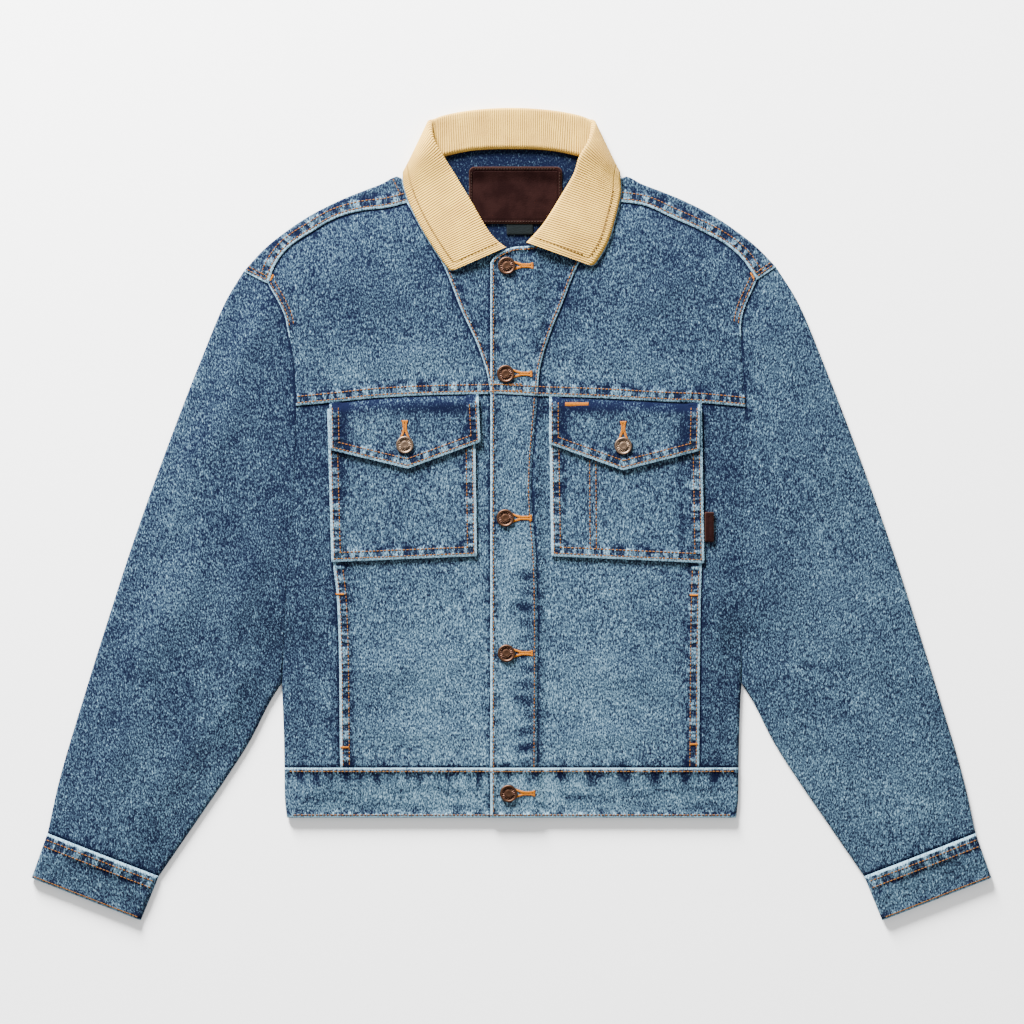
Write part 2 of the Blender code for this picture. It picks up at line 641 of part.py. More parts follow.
def collar():
    """The corduroy top collar and, nested inside its fold, the denim under collar."""
    rows = collar_rows()
    back_row = len(COLLAR_FRONT[RIGHT])
    marks = []
    for i in range(len(rows) - 1):
        near_corner = min(abs(i + 0.5 - back_row - 1), abs(i + 0.5 - (len(rows) - 2 - back_row)))
        pieces = 4 if near_corner < 1.6 else 2
        marks += [i + k / pieces for k in range(pieces)]
    marks.append(len(rows) - 1)
    sections = [collar_section(on_floor(spline(rows, m))) for m in marks]
    for name, finish, side in (("top_collar", "corduroy", 1), ("under_collar", "denim_dark", -1)):
        outer, inner = ([[point + facing * side * offset for point, facing in section]
                         for section in sections] for offset in (COLLAR_HALF, COLLAR_GAP))
        wall(name, [(outer, inner)], finish)


# -------------------------------------------------------------------------------- sewn-on pieces
def raised(face, amount):
    return lambda point: face(point) + amount


def pockets():
    for side, word, face in ((RIGHT, "right", front_face), (LEFT, "left", left_front_face)):
        top_out, foot_out, foot_in, top_in = (plan(side, *row) for row in POCKET[side])
        panel(f"{word}_pocket", [foot_in, foot_out], [foot_out, top_out], [top_in, top_out],
              [foot_in, top_in], raised(face, STACK + PATCH), spans=(5, 4), thick=PATCH,
              gaps=(0,) * 4)
        out_top, out_foot, point, in_foot, in_top = (plan(side, *row) for row in FLAP[side])
        panel(f"{word}_flap", [in_foot, point, out_foot], [out_foot, out_top],
              [in_top, out_top], [in_foot, in_top], raised(face, 2 * (STACK + PATCH)),
              spans=(6, 2), thick=PATCH, gaps=(0,) * 4)


def turned(name, centre, base, profile, finish):
    """A turned piece: the profile (radius, height) starts and ends on the axis."""
    bm = bmesh.new()
    points = [bm.verts.new((radius, 0, height)) for radius, height in profile]
    edges = [bm.edges.new(pair) for pair in zip(points, points[1:])]
    bmesh.ops.spin(bm, geom=points + edges, cent=(0, 0, 0), axis=(0, 0, 1),
                   angle=math.tau, steps=BUTTON_SIDES, use_merge=True)
    bmesh.ops.remove_doubles(bm, verts=bm.verts, dist=0.01)
    bmesh.ops.translate(bm, vec=(*centre, base), verts=bm.verts)
    return keep(name, bm, finish, sharp=35)


def buttons():
    rim = BUTTON_RADIUS
    profile = [(0, 0), (rim * 0.55, 0), (rim * 0.62, 0.6), (rim, 0.9), (rim, 2.0),
               (rim * 0.9, 2.6), (rim * 0.72, 2.2), (0, 2.5)]
    for number, (out, drop) in enumerate(FRONT_BUTTONS, start=1):
        centre = plan(LEFT, out, drop)
        turned(f"button_{number}", centre, left_front_face(centre) + STACK, profile, "copper")
    for side, word, face in ((RIGHT, "right", front_face), (LEFT, "left", left_front_face)):
        centre = plan(side, *FLAP_BUTTONS[side])
        base = face(centre) + 2 * (STACK + PATCH) + STACK
        turned(f"{word}_flap_button", centre, base, profile, "brass")


def flat_piece(name, low, high, top, bottom, face, finish, spans):
    corners = [plan(LEFT, out, drop)
               for out, drop in ((low, bottom), (high, bottom), (high, top), (low, top))]
    a, b, c, d = corners
    panel(name, [a, b], [b, c], [d, c], [a, d], face, spans=spans, thick=PATCH,
          finish=finish, gaps=(0,) * 4)


def labels():
    inside = raised(back_face, WALL + STACK + PATCH)
    half, mid = NECK_LABEL["half_width"], NECK_LABEL["centre"]
    flat_piece("neck_label", mid - half, mid + half, NECK_LABEL["top"], NECK_LABEL["bottom"],
               inside, "leather", (4, 12))
    flat_piece("size_tab", SIZE_TAB["low"], SIZE_TAB["high"], SIZE_TAB["top"],
               SIZE_TAB["bottom"], inside, "tab", (1, 1))
    flat_piece("side_tab", SIDE_TAB["inner"], SIDE_TAB["outer"], SIDE_TAB["top"],
               SIDE_TAB["bottom"], raised(left_front_face, STACK + PATCH), "leather", (1, 1))


def main():
    for old in list(bpy.data.objects):
        bpy.data.objects.remove(old, do_unlink=True)
    fronts()
    back()
    back_yoke()
    sleeves()
    cuffs()
    collar()
    pockets()
    buttons()
    labels()


main()
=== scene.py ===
# %% [markdown]
# # A denim trucker jacket, laid flat
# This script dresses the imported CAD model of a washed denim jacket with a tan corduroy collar. The
# CAD model fixes where every cut piece lies. Here each piece is made again as fine cloth, with
# lapped seams, soft folds, stitches and wear, and then it takes the place of its plain solid.

# %% Load the frame
import math

import bmesh
import bpy
import numpy as np
from mathutils import Matrix, Vector
from mathutils.bvhtree import BVHTree


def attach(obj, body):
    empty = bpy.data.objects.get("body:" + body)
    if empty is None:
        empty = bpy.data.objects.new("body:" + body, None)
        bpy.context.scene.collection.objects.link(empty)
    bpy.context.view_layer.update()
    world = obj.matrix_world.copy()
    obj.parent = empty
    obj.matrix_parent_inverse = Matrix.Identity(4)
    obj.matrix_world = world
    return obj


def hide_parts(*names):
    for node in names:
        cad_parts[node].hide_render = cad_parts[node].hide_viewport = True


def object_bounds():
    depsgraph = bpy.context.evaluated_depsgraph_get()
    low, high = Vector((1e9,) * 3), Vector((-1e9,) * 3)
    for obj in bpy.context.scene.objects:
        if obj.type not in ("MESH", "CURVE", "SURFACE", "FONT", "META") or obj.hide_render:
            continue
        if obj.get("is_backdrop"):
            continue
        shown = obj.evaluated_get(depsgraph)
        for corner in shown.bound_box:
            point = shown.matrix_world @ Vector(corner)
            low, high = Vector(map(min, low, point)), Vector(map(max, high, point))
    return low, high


MM = 0.001
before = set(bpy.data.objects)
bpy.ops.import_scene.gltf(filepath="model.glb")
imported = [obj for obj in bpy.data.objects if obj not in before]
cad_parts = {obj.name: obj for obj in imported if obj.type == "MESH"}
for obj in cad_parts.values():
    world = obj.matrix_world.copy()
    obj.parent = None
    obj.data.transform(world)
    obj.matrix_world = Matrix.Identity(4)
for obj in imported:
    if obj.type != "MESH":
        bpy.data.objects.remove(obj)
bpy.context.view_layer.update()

# %% [markdown]
# ## The pattern
# A jacket is cut from paper patterns, so the script starts with them too. Every table holds
# millimetres: "out" is the distance from the centre line, and "drop" the distance below the top
# of the collar. Right and left are the wearer's, and the wearer's right is -X.

# %% Driving dimensions and pattern tables
HALF_LENGTH = 406.0
WALL = 1.3
LAYER_TOP = 4.8  # the front layer's face, flat on the table
MIDDLE = LAYER_TOP / 2
RIGHT, LEFT = -1, 1
SIDES = (RIGHT, LEFT)
WORDS = {RIGHT: "right", LEFT: "left"}
WAIST, HEM, BACK_SEAM = 659.5, 709.5, 222.0
LAP = {RIGHT: 14.0, LEFT: 21.0}
LAP_RISE, LAP_FLAT, LAP_END = 1.7, 24.0, 35.0
TUCK_DROP, TUCK_FALL, TUCK_OUT, TUCK_LIFT = 55.0, 17.5, 107.0, 2.6

SHOULDER_FOLD = [(84, 70), (100, 75.5), (106, 76), (110, 70.5), (113, 68.3), (130, 76), (151, 84),
                 (170.5, 92), (202, 108), (226, 124), (246, 140)]
BACK_NECK = [(0, 39), (22, 39.3), (43, 41), (66, 46), (78, 56), (84, 70)]
YOKE_TIP = {RIGHT: (267.5, 163), LEFT: (264, 158.5)}
SHOULDER_SEAM = {
    RIGHT: [(78, 90), (104.5, 95), (124.5, 100), (149.5, 103), (174.5, 110), (199.5, 124),
            (224.5, 141.5), (236.5, 158), (243, 176)],
    LEFT: [(78, 90), (104.5, 93.5), (133.5, 98), (160.5, 110), (189.5, 123), (214.5, 137),
           (229.5, 150), (245, 172)],
}
ARMHOLE_TOP = {  # shoulder seam, back yoke seam, front yoke seam
    RIGHT: [(243, 176), (226.5, 208), (223.6, 222), (217.5, 251), (215, 298)],
    LEFT: [(245, 172), (230.5, 207), (229, 222), (231, 262), (233.5, 299)],
}
ARMHOLE_LOW = {  # front yoke seam, crotch
    RIGHT: [(215, 298), (217, 375), (224, 470), (229.5, 575)],
    LEFT: [(233.5, 299), (232, 375), (231, 470), (230, 575)],
}
V_SEAM = {
    RIGHT: [(21, 286), (24.5, 265), (35.5, 234), (49, 205), (68, 158), (86.5, 126), (104.5, 95)],
    LEFT: [(26, 288), (28.5, 261), (36.5, 232), (51.5, 194), (66, 158), (88.5, 124),
           (104.5, 93.5)],
}
FRONT_YOKE_SEAM = {
    RIGHT: [(-14, 285.5), (21, 286), (74.5, 287), (135.5, 290), (180, 294.6), (215, 298)],
    LEFT: [(-21, 285.5), (26, 288), (84.5, 290), (160.5, 294), (190, 295), (233.5, 299)],
}
FRONT_NECK = {
    RIGHT: [(-14, 144.5), (12, 143), (32, 136), (60, 115), (78, 90)],
    LEFT: [(-21, 155), (-16.5, 148.5), (-8.5, 143.6), (0, 140), (24.5, 137), (43, 126),
           (67, 106), (78, 90)],
}
WELT_SEAM = {
    RIGHT: [(180, 294.6), (178, 456), (174.5, 488), (171, 659.5)],
    LEFT: [(190, 295), (190, 457), (189, 488), (187.3, 659.5)],
}
PLACKET_SEAM = [(26, 288), (20, 379), (25, 460), (25.5, 659.5)]
BODY_SIDE = [(229.5, 575), (227.5, 632), (227, 659.5)]
BAND_SIDE = [(227, 659.5), (226.5, 692), (224.5, 709.5)]
SLEEVE_OUTER = [(285, 192), (310.5, 252), (341.5, 332), (377.5, 432), (403.5, 512),
                (428.5, 592), (452, 672), (463.8, 725)]
SLEEVE_INNER = [(229.7, 575), (240.5, 592), (261, 632), (286.5, 672), (314, 712), (352.5, 768)]
CUFF_END = [(479.7, 769.5), (370.5, 812)]
POCKET = {  # four corners: top outer, bottom outer, bottom inner, top inner
    RIGHT: [(184, 301), (179.8, 454), (34.5, 448), (36.5, 301)],
    LEFT: [(190, 301), (192.5, 455), (39.8, 448), (37.5, 301)],
}
FLAP = {  # outer top, outer bottom, point, inner bottom, inner top
    RIGHT: [(182, 299.5), (181.2, 342), (103.5, 360.6), (31, 334), (33, 292)],
    LEFT: [(188.5, 299.5), (187.5, 343), (111.2, 362.3), (37.5, 336), (37.5, 293.5)],
}


def spot(side, out, drop):
    """A pattern point as a numpy pair, in millimetres of the frame."""
    return np.array((side * out, HALF_LENGTH - drop))


def smooth(value):
    value = np.clip(value, 0.0, 1.0)
    return value * value * (3 - 2 * value)


print("jacket:", 2 * HALF_LENGTH, "mm long, waist seam at", WAIST)


# %% [markdown]
# ## Curves through the pattern points
# A cutter draws a smooth curve through a few marks. A Catmull-Rom spline does the same: it
# passes through every point and needs no handles. Curves can be chained, and where two of them
# meet the chain keeps a corner, which the cloth grid must have a column at.

# %% Curve helpers
CURVE_STEP = 3.0


class Line:
    """Dense points, the share of the length at each, and the shares of the corners."""

    def __init__(self, points, corners=()):
        self.points = np.asarray(points, float)
        steps = np.linalg.norm(np.diff(self.points, axis=0), axis=1)
        self.run = np.concatenate([[0.0], np.cumsum(steps)])
        self.length = self.run[-1]
        self.corners = list(corners)

    def at(self, shares):
        where = np.asarray(shares) * self.length
        return np.stack([np.interp(where, self.run, self.points[:, k]) for k in (0, 1)], axis=-1)

    def back(self):
        return Line(self.points[::-1], [1 - c for c in self.corners])


def curve(side, table):
    """A smooth line through the rows of a pattern table."""
    marks = np.array([spot(side, *row) for row in table])
    if len(marks) == 2:
        count = max(2, int(np.linalg.norm(marks[1] - marks[0]) / CURVE_STEP))
        return Line(marks[0] + np.linspace(0, 1, count)[:, None] * (marks[1] - marks[0]))
    padded = np.vstack([2 * marks[0] - marks[1], marks, 2 * marks[-1] - marks[-2]])
    points = []
    for a, b, c, d in zip(padded, padded[1:], padded[2:], padded[3:]):
        span = np.linalg.norm(c - b)
        low, high = (span / max(np.linalg.norm(q - p), 1.0) for p, q in ((a, b), (c, d)))
        m0 = ((b - a) * low + (c - b)) / 2
        m1 = ((c - b) + (d - c) * high) / 2
        for t in np.arange(0, 1, 1 / max(2, int(span / CURVE_STEP))):
            points.append((2 * t**3 - 3 * t**2 + 1) * b + (t**3 - 2 * t**2 + t) * m0
                          + (3 * t**2 - 2 * t**3) * c + (t**3 - t**2) * m1)
    return Line(points + [marks[-1]])


def chain(*lines):
    """Lines joined end to end, with a corner at each join."""
    points = [lines[0].points] + [line.points[1:] for line in lines[1:]]
    joined = Line(np.vstack(points))
    ends = np.cumsum([line.length for line in lines])[:-1]
    joined.corners = [end / joined.length for end in ends]
    return joined


def straight(*ends):
    """Straight stretches between frame points, with corners between them."""
    parts = []
    for a, b in zip(ends, ends[1:]):
        count = max(2, int(np.linalg.norm(b - a) / CURVE_STEP))
        parts.append(Line(a + np.linspace(0, 1, count)[:, None] * (b - a)))
    return chain(*parts) if len(parts) > 1 else parts[0]


def cut(line, low, high):
    """The stretch of a line between two shares."""
    count = max(3, int((high - low) * line.length / CURVE_STEP))
    return Line(line.at(np.linspace(low, high, count)))


def nearest(points, line):
    """For each point its distance to a line, and how far along the line that is."""
    count = int(min(160, max(2, line.length / 4)))
    marks = line.at(np.linspace(0, 1, count + 1))
    a, step = marks[:-1], np.diff(marks, axis=0)
    rel = points[:, None, :] - a[None]
    t = np.clip((rel * step).sum(-1) / np.maximum((step * step).sum(-1), 1e-9), 0, 1)
    gap = np.linalg.norm(rel - t[..., None] * step, axis=-1)
    best = gap.argmin(axis=1)
    rows = np.arange(len(points))
    return gap[rows, best], (best + t[rows, best]) * line.length / count


def ruled(side, *rows):
    """Straight stretches between rows of a pattern table."""
    return straight(*(spot(side, *row) for row in rows))


def both(table):
    """The curve on either side, from one table for both or from one for each."""
    return {s: curve(s, table[s] if isinstance(table, dict) else table) for s in SIDES}


arm_top, arm_low = both(ARMHOLE_TOP), both(ARMHOLE_LOW)
armhole = {s: chain(arm_top[s], arm_low[s]) for s in SIDES}
v_seam, yoke_seam, welt = both(V_SEAM), both(FRONT_YOKE_SEAM), both(WELT_SEAM)
whole_shoulder = both(SHOULDER_SEAM)
shoulder = both({s: SHOULDER_SEAM[s][1:] for s in SIDES})
neck = {s: chain(curve(s, FRONT_NECK[s]), curve(s, SHOULDER_SEAM[s][:2])) for s in SIDES}
placket = curve(LEFT, PLACKET_SEAM)
body_side, band_side = both(BODY_SIDE), both(BAND_SIDE)
sleeve_outer = both({s: [YOKE_TIP[s]] + SLEEVE_OUTER for s in SIDES})
sleeve_inner = both(SLEEVE_INNER)
cuff_seam, cuff_end = both([SLEEVE_OUTER[-1], SLEEVE_INNER[-1]]), both(CUFF_END)
shoulder_fold = both({s: SHOULDER_FOLD + [YOKE_TIP[s]] for s in SIDES})
front_edge = ruled(LEFT, (-21, 155), (-21, HEM))
waist_line = straight(spot(RIGHT, 227, WAIST), spot(LEFT, 227, WAIST))
hem_line = straight(spot(RIGHT, 224.5, HEM), spot(LEFT, 224.5, HEM))
print("pattern lines:", round(sum(line.length for line in v_seam.values())), "mm of V seams")

# %% [markdown]
# ## How high the cloth lies
# Laid cloth isn't flat: air stays between the layers, so each tube swells in the middle and
# falls away to its folds, and soft creases run where the arms bend. One height function serves
# every piece, so that neighbours meet. The creases are a short table.

# %% Heights of the layers
THIN_EDGE = 0.04  # what is left of the height at a fold
PUFF, PUFF_REACH = 3.6, 34.0
ROLL = 5.0  # how far in from a fold the cloth starts to turn down
SPLIT = 40.0  # how far above the underarm the sleeve and the body start to part

# Soft creases: x and drop of the middle, heading in degrees, half length, half width, height
CREASES = [
    (-262, 235, 62, 80, 15, 1.7), (-300, 330, 52, 95, 18, 1.6), (-262, 470, 70, 95, 15, 1.5),
    (-350, 520, 58, 100, 20, 1.8), (-395, 650, 64, 85, 17, 1.5), (-330, 655, 55, 70, 14, 1.3),
    (-280, 590, 75, 60, 11, 1.3), (-420, 610, 66, 70, 13, 1.2), (-330, 430, 60, 70, 12, -1.2),
    (265, 240, -62, 80, 15, 1.7), (305, 340, -54, 95, 18, 1.6), (265, 470, -70, 95, 15, 1.5),
    (352, 530, -58, 100, 20, 1.8), (398, 655, -64, 85, 17, 1.5), (332, 650, -55, 70, 14, 1.3),
    (283, 600, -75, 60, 11, 1.3), (424, 600, -66, 70, 13, 1.2), (335, 430, -60, 70, 12, -1.2),
    (-150, 180, -35, 60, 16, 1.0), (150, 185, 35, 60, 16, 1.0), (-100, 250, 12, 70, 10, 0.8),
    (110, 252, -10, 70, 10, 0.8), (-110, 560, 8, 80, 18, 1.2), (110, 565, -10, 80, 18, 1.2),
    (-90, 625, -5, 90, 10, 1.0), (95, 628, 6, 90, 10, 1.0), (-205, 520, 85, 90, 9, 1.0),
    (208, 520, -85, 90, 9, 1.0), (0, 480, 88, 120, 9, 0.9), (-60, 500, 70, 60, 14, -0.8),
]
low_lines = [line for s in SIDES
             for line in (sleeve_outer[s], sleeve_inner[s], body_side[s], band_side[s],
                          cuff_end[s], cut(arm_low[s], 0.9, 1.0), shoulder_fold[s])]
low_lines.append(hem_line)


def tuck(points):
    """1 where the collar's fall is tucked under the yoke, 0 away from it."""
    drop, out = HALF_LENGTH - points[:, 1], np.abs(points[:, 0])
    reach = np.minimum(out, TUCK_OUT)
    below = np.maximum(drop - TUCK_DROP - TUCK_FALL * (reach / TUCK_OUT) ** 2, 0.0)
    return smooth((20 - np.hypot(below, out - reach)) / 18)


def creases(points):
    rise = np.zeros(len(points))
    for x, drop, heading, half_length, half_width, height in CREASES:
        way = np.array((math.cos(math.radians(heading)), math.sin(math.radians(heading))))
        off = points - np.array((x, HALF_LENGTH - drop))
        run, side = off @ way / half_length, (off @ np.array((-way[1], way[0]))) / half_width
        rise += height * smooth(1 - np.abs(run)) * np.exp(-side * side)
    return rise


def swell(points):
    """How far the top layer rises over its flat place."""
    gap = np.full(len(points), 1e9)
    for line in low_lines:
        gap = np.minimum(gap, nearest(points, line)[0])
    full = 1 - np.exp(-(gap / PUFF_REACH) ** 2)
    return full * PUFF + creases(points) * smooth(gap / 25) * 0.9


def front_height(points):
    return LAYER_TOP + 0.9 * tuck(points) + swell(points)


def left_height(points):
    return front_height(points) + LAP_RISE * smooth((LAP_END - points[:, 0])
                                                    / (LAP_END - LAP_FLAT))


def back_height(points):
    return TUCK_LIFT * tuck(points)


FACE = {RIGHT: front_height, LEFT: left_height}
print("crease table:", len(CREASES), "creases")

# %% [markdown]
# ## Colours come from nodes
# Denim is woven from blue warp and white weft, and stones in the washing machine knock the blue
# off wherever the cloth is thick or bent. A photo texture could show that, but this part uses
# none. The cloth carries the distance to its nearest seam at every point instead, and the nodes
# turn that distance into pale worn edges, the puckers of a tight seam, and dark lines beside the
# seams a piece lies under, which are painted shadow together with unworn dye.

# %% A few short helpers for node trees
def new_material(name, rough):
    made = bpy.data.materials.new(name)
    made.use_nodes = True
    shader = made.node_tree.nodes["Principled BSDF"]
    shader.inputs["Roughness"].default_value = rough
    return made, shader


class Value:
    """A socket's value. It takes + - and *, and each of them adds a Math node."""

    def __init__(self, material, socket):
        self.material, self.socket = material, socket

    def maths(self, operation, other=0.0, clamp=False):
        node = self.material.node_tree.nodes.new("ShaderNodeMath")
        node.operation = operation
        node.use_clamp = clamp
        link(self, node.inputs[0])
        link(other, node.inputs[1])
        return Value(self.material, node.outputs[0])

    def __add__(self, other):
        return self.maths("ADD", other)

    def __sub__(self, other):
        return self.maths("SUBTRACT", other)

    def __mul__(self, other):
        return self.maths("MULTIPLY", other)


def link(source, target):
    """Give a socket another node's value, a number or a colour."""
    if isinstance(source, Value):
        source.material.node_tree.links.new(source.socket, target)
    else:
        target.default_value = source


def attribute(material, name, output="Fac"):
    node = material.node_tree.nodes.new("ShaderNodeAttribute")
    node.attribute_name = name
    return Value(material, node.outputs[output])


def ramp(value, low, high, out_low=0.0, out_high=1.0):
    """A smooth step of a value between two limits."""
    node = value.material.node_tree.nodes.new("ShaderNodeMapRange")
    node.interpolation_type = "SMOOTHSTEP"
    for key, number in (("Value", value), ("From Min", low), ("From Max", high),
                        ("To Min", out_low), ("To Max", out_high)):
        link(number, node.inputs[key])
    return Value(value.material, node.outputs["Result"])


def mix(material, share, first, second):
    node = material.node_tree.nodes.new("ShaderNodeMix")
    node.data_type = "RGBA"
    for key, part in (("Factor", share), ("A", first), ("B", second)):
        link(part, node.inputs[key])
    return Value(material, node.outputs["Result"])


def vector(x, y):
    node = x.material.node_tree.nodes.new("ShaderNodeCombineXYZ")
    link(x, node.inputs[0])
    link(y, node.inputs[1])
    return Value(x.material, node.outputs[0])


def object_place(material, turn=0.0, stretch=(1, 1, 1)):
    """Object coordinates in metres, turned about Z and stretched."""
    coords = material.node_tree.nodes.new("ShaderNodeTexCoord")
    mapping = material.node_tree.nodes.new("ShaderNodeMapping")
    mapping.inputs["Rotation"].default_value = (0, 0, math.radians(turn))
    mapping.inputs["Scale"].default_value = stretch
    link(Value(material, coords.outputs["Object"]), mapping.inputs["Vector"])
    return Value(material, mapping.outputs["Vector"])


def noise(place, per_metre, detail, rough, twist=0.0):
    node = place.material.node_tree.nodes.new("ShaderNodeTexNoise")
    for key, number in (("Vector", place), ("Scale", per_metre), ("Detail", detail),
                        ("Roughness", rough), ("Distortion", twist)):
        link(number, node.inputs[key])
    return Value(place.material, node.outputs["Fac"])


def paint(shader, colour, relief, depth, strength=1.0, specular=0.0):
    """Colour and relief of a shader. Relief runs from 0 to 1, which stands for depth in metres."""
    node = relief.material.node_tree.nodes.new("ShaderNodeBump")
    node.inputs["Strength"].default_value = strength
    node.inputs["Distance"].default_value = depth
    link(relief, node.inputs["Height"])
    link(Value(relief.material, node.outputs["Normal"]), shader.inputs["Normal"])
    link(colour, shader.inputs["Base Color"])
    if specular is not None:
        shader.inputs["Specular IOR Level"].default_value = specular


print("node helpers ready")

# %% [markdown]
# ## Washed denim
# Up close the cloth is a speckle of navy, mid blue and grey-white about two millimetres across.
# It is made from one contrasty noise for the speckle, a finer one stretched along the warp, and
# slow noises that fade whole patches. The seam attributes then lighten or darken it.

# %% The denim materials
NAVY, BLUE = (0.0036, 0.0052, 0.0155, 1), (0.0195, 0.0325, 0.052, 1)
PALE, WORN = (0.056, 0.102, 0.142, 1), (0.17, 0.29, 0.37, 1)


def denim(name, grain_turn=0.0, tone=0.0):
    made, shader = new_material(name, 0.88)
    speckle = noise(object_place(made, grain_turn, (1.5, 0.78, 1.0)), 560, 3.0, 0.7, 0.25)
    slub = noise(object_place(made, grain_turn, (3.2, 0.7, 1.0)), 330, 2.0, 0.6)
    patch = noise(object_place(made), 14, 3.0, 0.6)
    cloud = noise(object_place(made), 55, 2.0, 0.55)
    value = ((speckle - 0.5) * 6.8 + (slub - 0.5) * 2.3 + (patch - 0.5) * 0.6
             + (cloud - 0.5) * 0.5 + attribute(made, "shade") * 0.34 + (tone + 0.20))

    # the lapped side of a seam: pale edge, puckers between its stitch rows, dark just past them
    off, run, band = (attribute(made, key) for key in ("lap_off", "lap_run", "lap_band"))
    edge = ramp(off - band.maths("MINIMUM", 0.0095) * 0.2, 0.0017, 0.0)
    edge *= ramp(noise(vector(run, off), 90, 2.0, 0.6), 0.2, 0.55, 0.55, 1.1)
    inside = ramp(off, 0.0020, 0.0035) * ramp(off - band, 0.0035, 0.0)
    pucker = ramp(noise(vector(run, off * 0.22), 150, 1.5, 0.6, 0.4), 0.40, 0.62, -1.0, 0.75)
    past = ramp(off - band, -0.0005, 0.0015) * ramp(off - band, 0.010, 0.002)
    past *= ramp(noise(vector(run, off * 0.7), 75, 3.0, 0.65), 0.46, 0.66)
    value = value + edge * 1.35 + inside * pucker * 0.80 - past

    # the side that lies under: a dark line beside the seam, painted shadow of the lapping piece with
    # unworn dye, broken further out
    under, under_run = attribute(made, "under_off"), attribute(made, "under_run")
    spill = ramp(under, 0.013, 0.002)
    spill *= ramp(noise(vector(under_run, under * 0.6), 85, 3.0, 0.65), 0.45, 0.66)
    value = value - ramp(under, 0.0034, 0.0008) * 0.8 - spill * 0.7

    colour = mix(made, ramp(value, -0.45, 0.35), NAVY, BLUE)
    colour = mix(made, ramp(value, 0.20, 1.0), colour, PALE)
    colour = mix(made, ramp(value, 1.0, 1.75), colour, WORN)
    paint(shader, colour, speckle * 0.55 + inside * pucker * 0.5 + slub * 0.35, 0.0011, 0.75)
    return made


washed = denim("washed_denim")
sleeve_denim = {RIGHT: denim("right_sleeve_denim", 22, -0.18),
                LEFT: denim("left_sleeve_denim", -22, 0.04)}
pocket_denim = denim("pocket_denim", 4, 0.0)
unwashed = denim("unwashed_denim", 8, -0.85)
print("materials so far:", len(bpy.data.materials))

# %% [markdown]
# ## A sheet of cloth on four lines
# Each cut piece is a grid stretched between its four edges (a Coons patch). The grid comes from
# `create_grid`, every vertex moves to its place on the pattern, and the height function lifts
# it. A Solidify modifier gives the wall. Grids bend evenly in both directions, which loose
# triangles don't, and they keep the pieces light.

# %% The cloth function
cloth_trees = {}  # the faces that stitches and buttons are dropped on to
SPACING = 4.0
LAP_HEIGHT = 0.9
MERGE_DISTANCE = 0.01 * MM
RIM_WEIGHT = 90  # how much more large faces count in a vertex normal, 50 is even
WASH_AND_SHADE_PATCHES = [  # x, drop, half sizes, tilt in degrees, amount: pale or dark patches of the wash and of painted shade
    (-70, 590, 60, 110, 0, 1.1), (75, 600, 60, 100, 0, 0.9), (-5, 470, 22, 190, 0, 0.65),
    (-110, 400, 60, 55, 0, 0.05), (115, 400, 60, 55, 0, 0.2), (-120, 180, 90, 50, 0, -0.6),
    (130, 180, 90, 50, 0, -0.5), (-100, 262, 100, 16, 2, 0.6), (110, 264, 100, 16, -2, 0.4),
    # the dark patches beside the armholes and down the body sides are painted shade where body and
    # sleeve meet
    (-200, 560, 26, 160, 0, -0.25), (207, 560, 24, 160, 0, -0.2), (-200, 340, 22, 60, 0, -0.6),
    (212, 340, 22, 60, 0, -0.6), (-330, 500, 55, 210, -20, 0.25), (335, 500, 55, 210, 20, 0.2),
    (-235, 480, 28, 120, -10, -0.45), (250, 480, 30, 120, 10, -0.45), (0, 688, 260, 26, 0, 1.45),
    # the thin dark lines just under the front yoke seams are painted shadow
    (-108, 298, 62, 3, 1, -0.3), (112, 298, 62, 3, -1, -0.3), (-41, 320, 5, 14, 0, -2.6),
    (-169, 325, 5, 18, 0, -2.2), (50, 320, 5, 14, 0, -2.4), (175, 325, 6, 18, 0, -2.2),
    (177, 372, 3, 26, 0, 1.5), (170.5, 395, 3, 55, 0, -1.3), (22, 380, 5, 30, 0, -0.5),
    (-300, 300, 60, 90, -30, 0.1), (300, 300, 60, 90, 30, 0.05), (0, 200, 30, 70, 0, 0.1),
]
FOLD_SHADE_AND_DYE = [  # short folds painted into the colour as dark bars of shade with unworn dye, pale ones too on the cuffs: lower placket, waistband seam, flap seams, cuffs, waistband
    (16 + 3 * math.sin(2.3 * k), 468 + 15.5 * k, 8.0, 3.0, 14 * math.sin(k),
     -3.4 - 1.2 * math.sin(4.1 * k)) for k in range(13)] + [
    (-210 + 15 * k + 6 * math.sin(3.1 * k), 668 + 2 * math.sin(1.7 * k), 2.2, 6,
     6 * math.sin(k), -3.0 - 1.2 * math.sin(2.7 * k)) for k in range(29)] + [
    (side * (105 + 68 * math.sin(1.9 * k)), 299 + 2.5 * math.sin(2.9 * k), 9, 4.0, 0,
     -1.3 - 0.8 * math.sin(5 * k)) for k in range(16) for side in SIDES] + [
    (side * (448 - 17 * k), 812 - 6 * side * math.sin(k) + 6 * k, 5, 9, 20 * side,
     1.6 * math.sin(2.6 * k + side)) for k in range(6) for side in SIDES] + [
    (-200 + 21 * k + 9 * math.sin(2.2 * k), 690 + 9 * math.sin(2.9 * k), 12, 1.8,
     12 * math.sin(1.3 * k), -1.6) for k in range(20)]


def wash_and_shade(points):
    shade = np.zeros(len(points))
    for x, drop, half_x, half_y, tilt, amount in WASH_AND_SHADE_PATCHES + FOLD_SHADE_AND_DYE:
        turn = math.radians(tilt)
        off = points - np.array((x, HALF_LENGTH - drop))
        a = (off[:, 0] * math.cos(turn) - off[:, 1] * math.sin(turn)) / half_x
        b = (off[:, 0] * math.sin(turn) + off[:, 1] * math.cos(turn)) / half_y
        shade += amount * np.exp(-(a * a + b * b) / 2)
    return shade


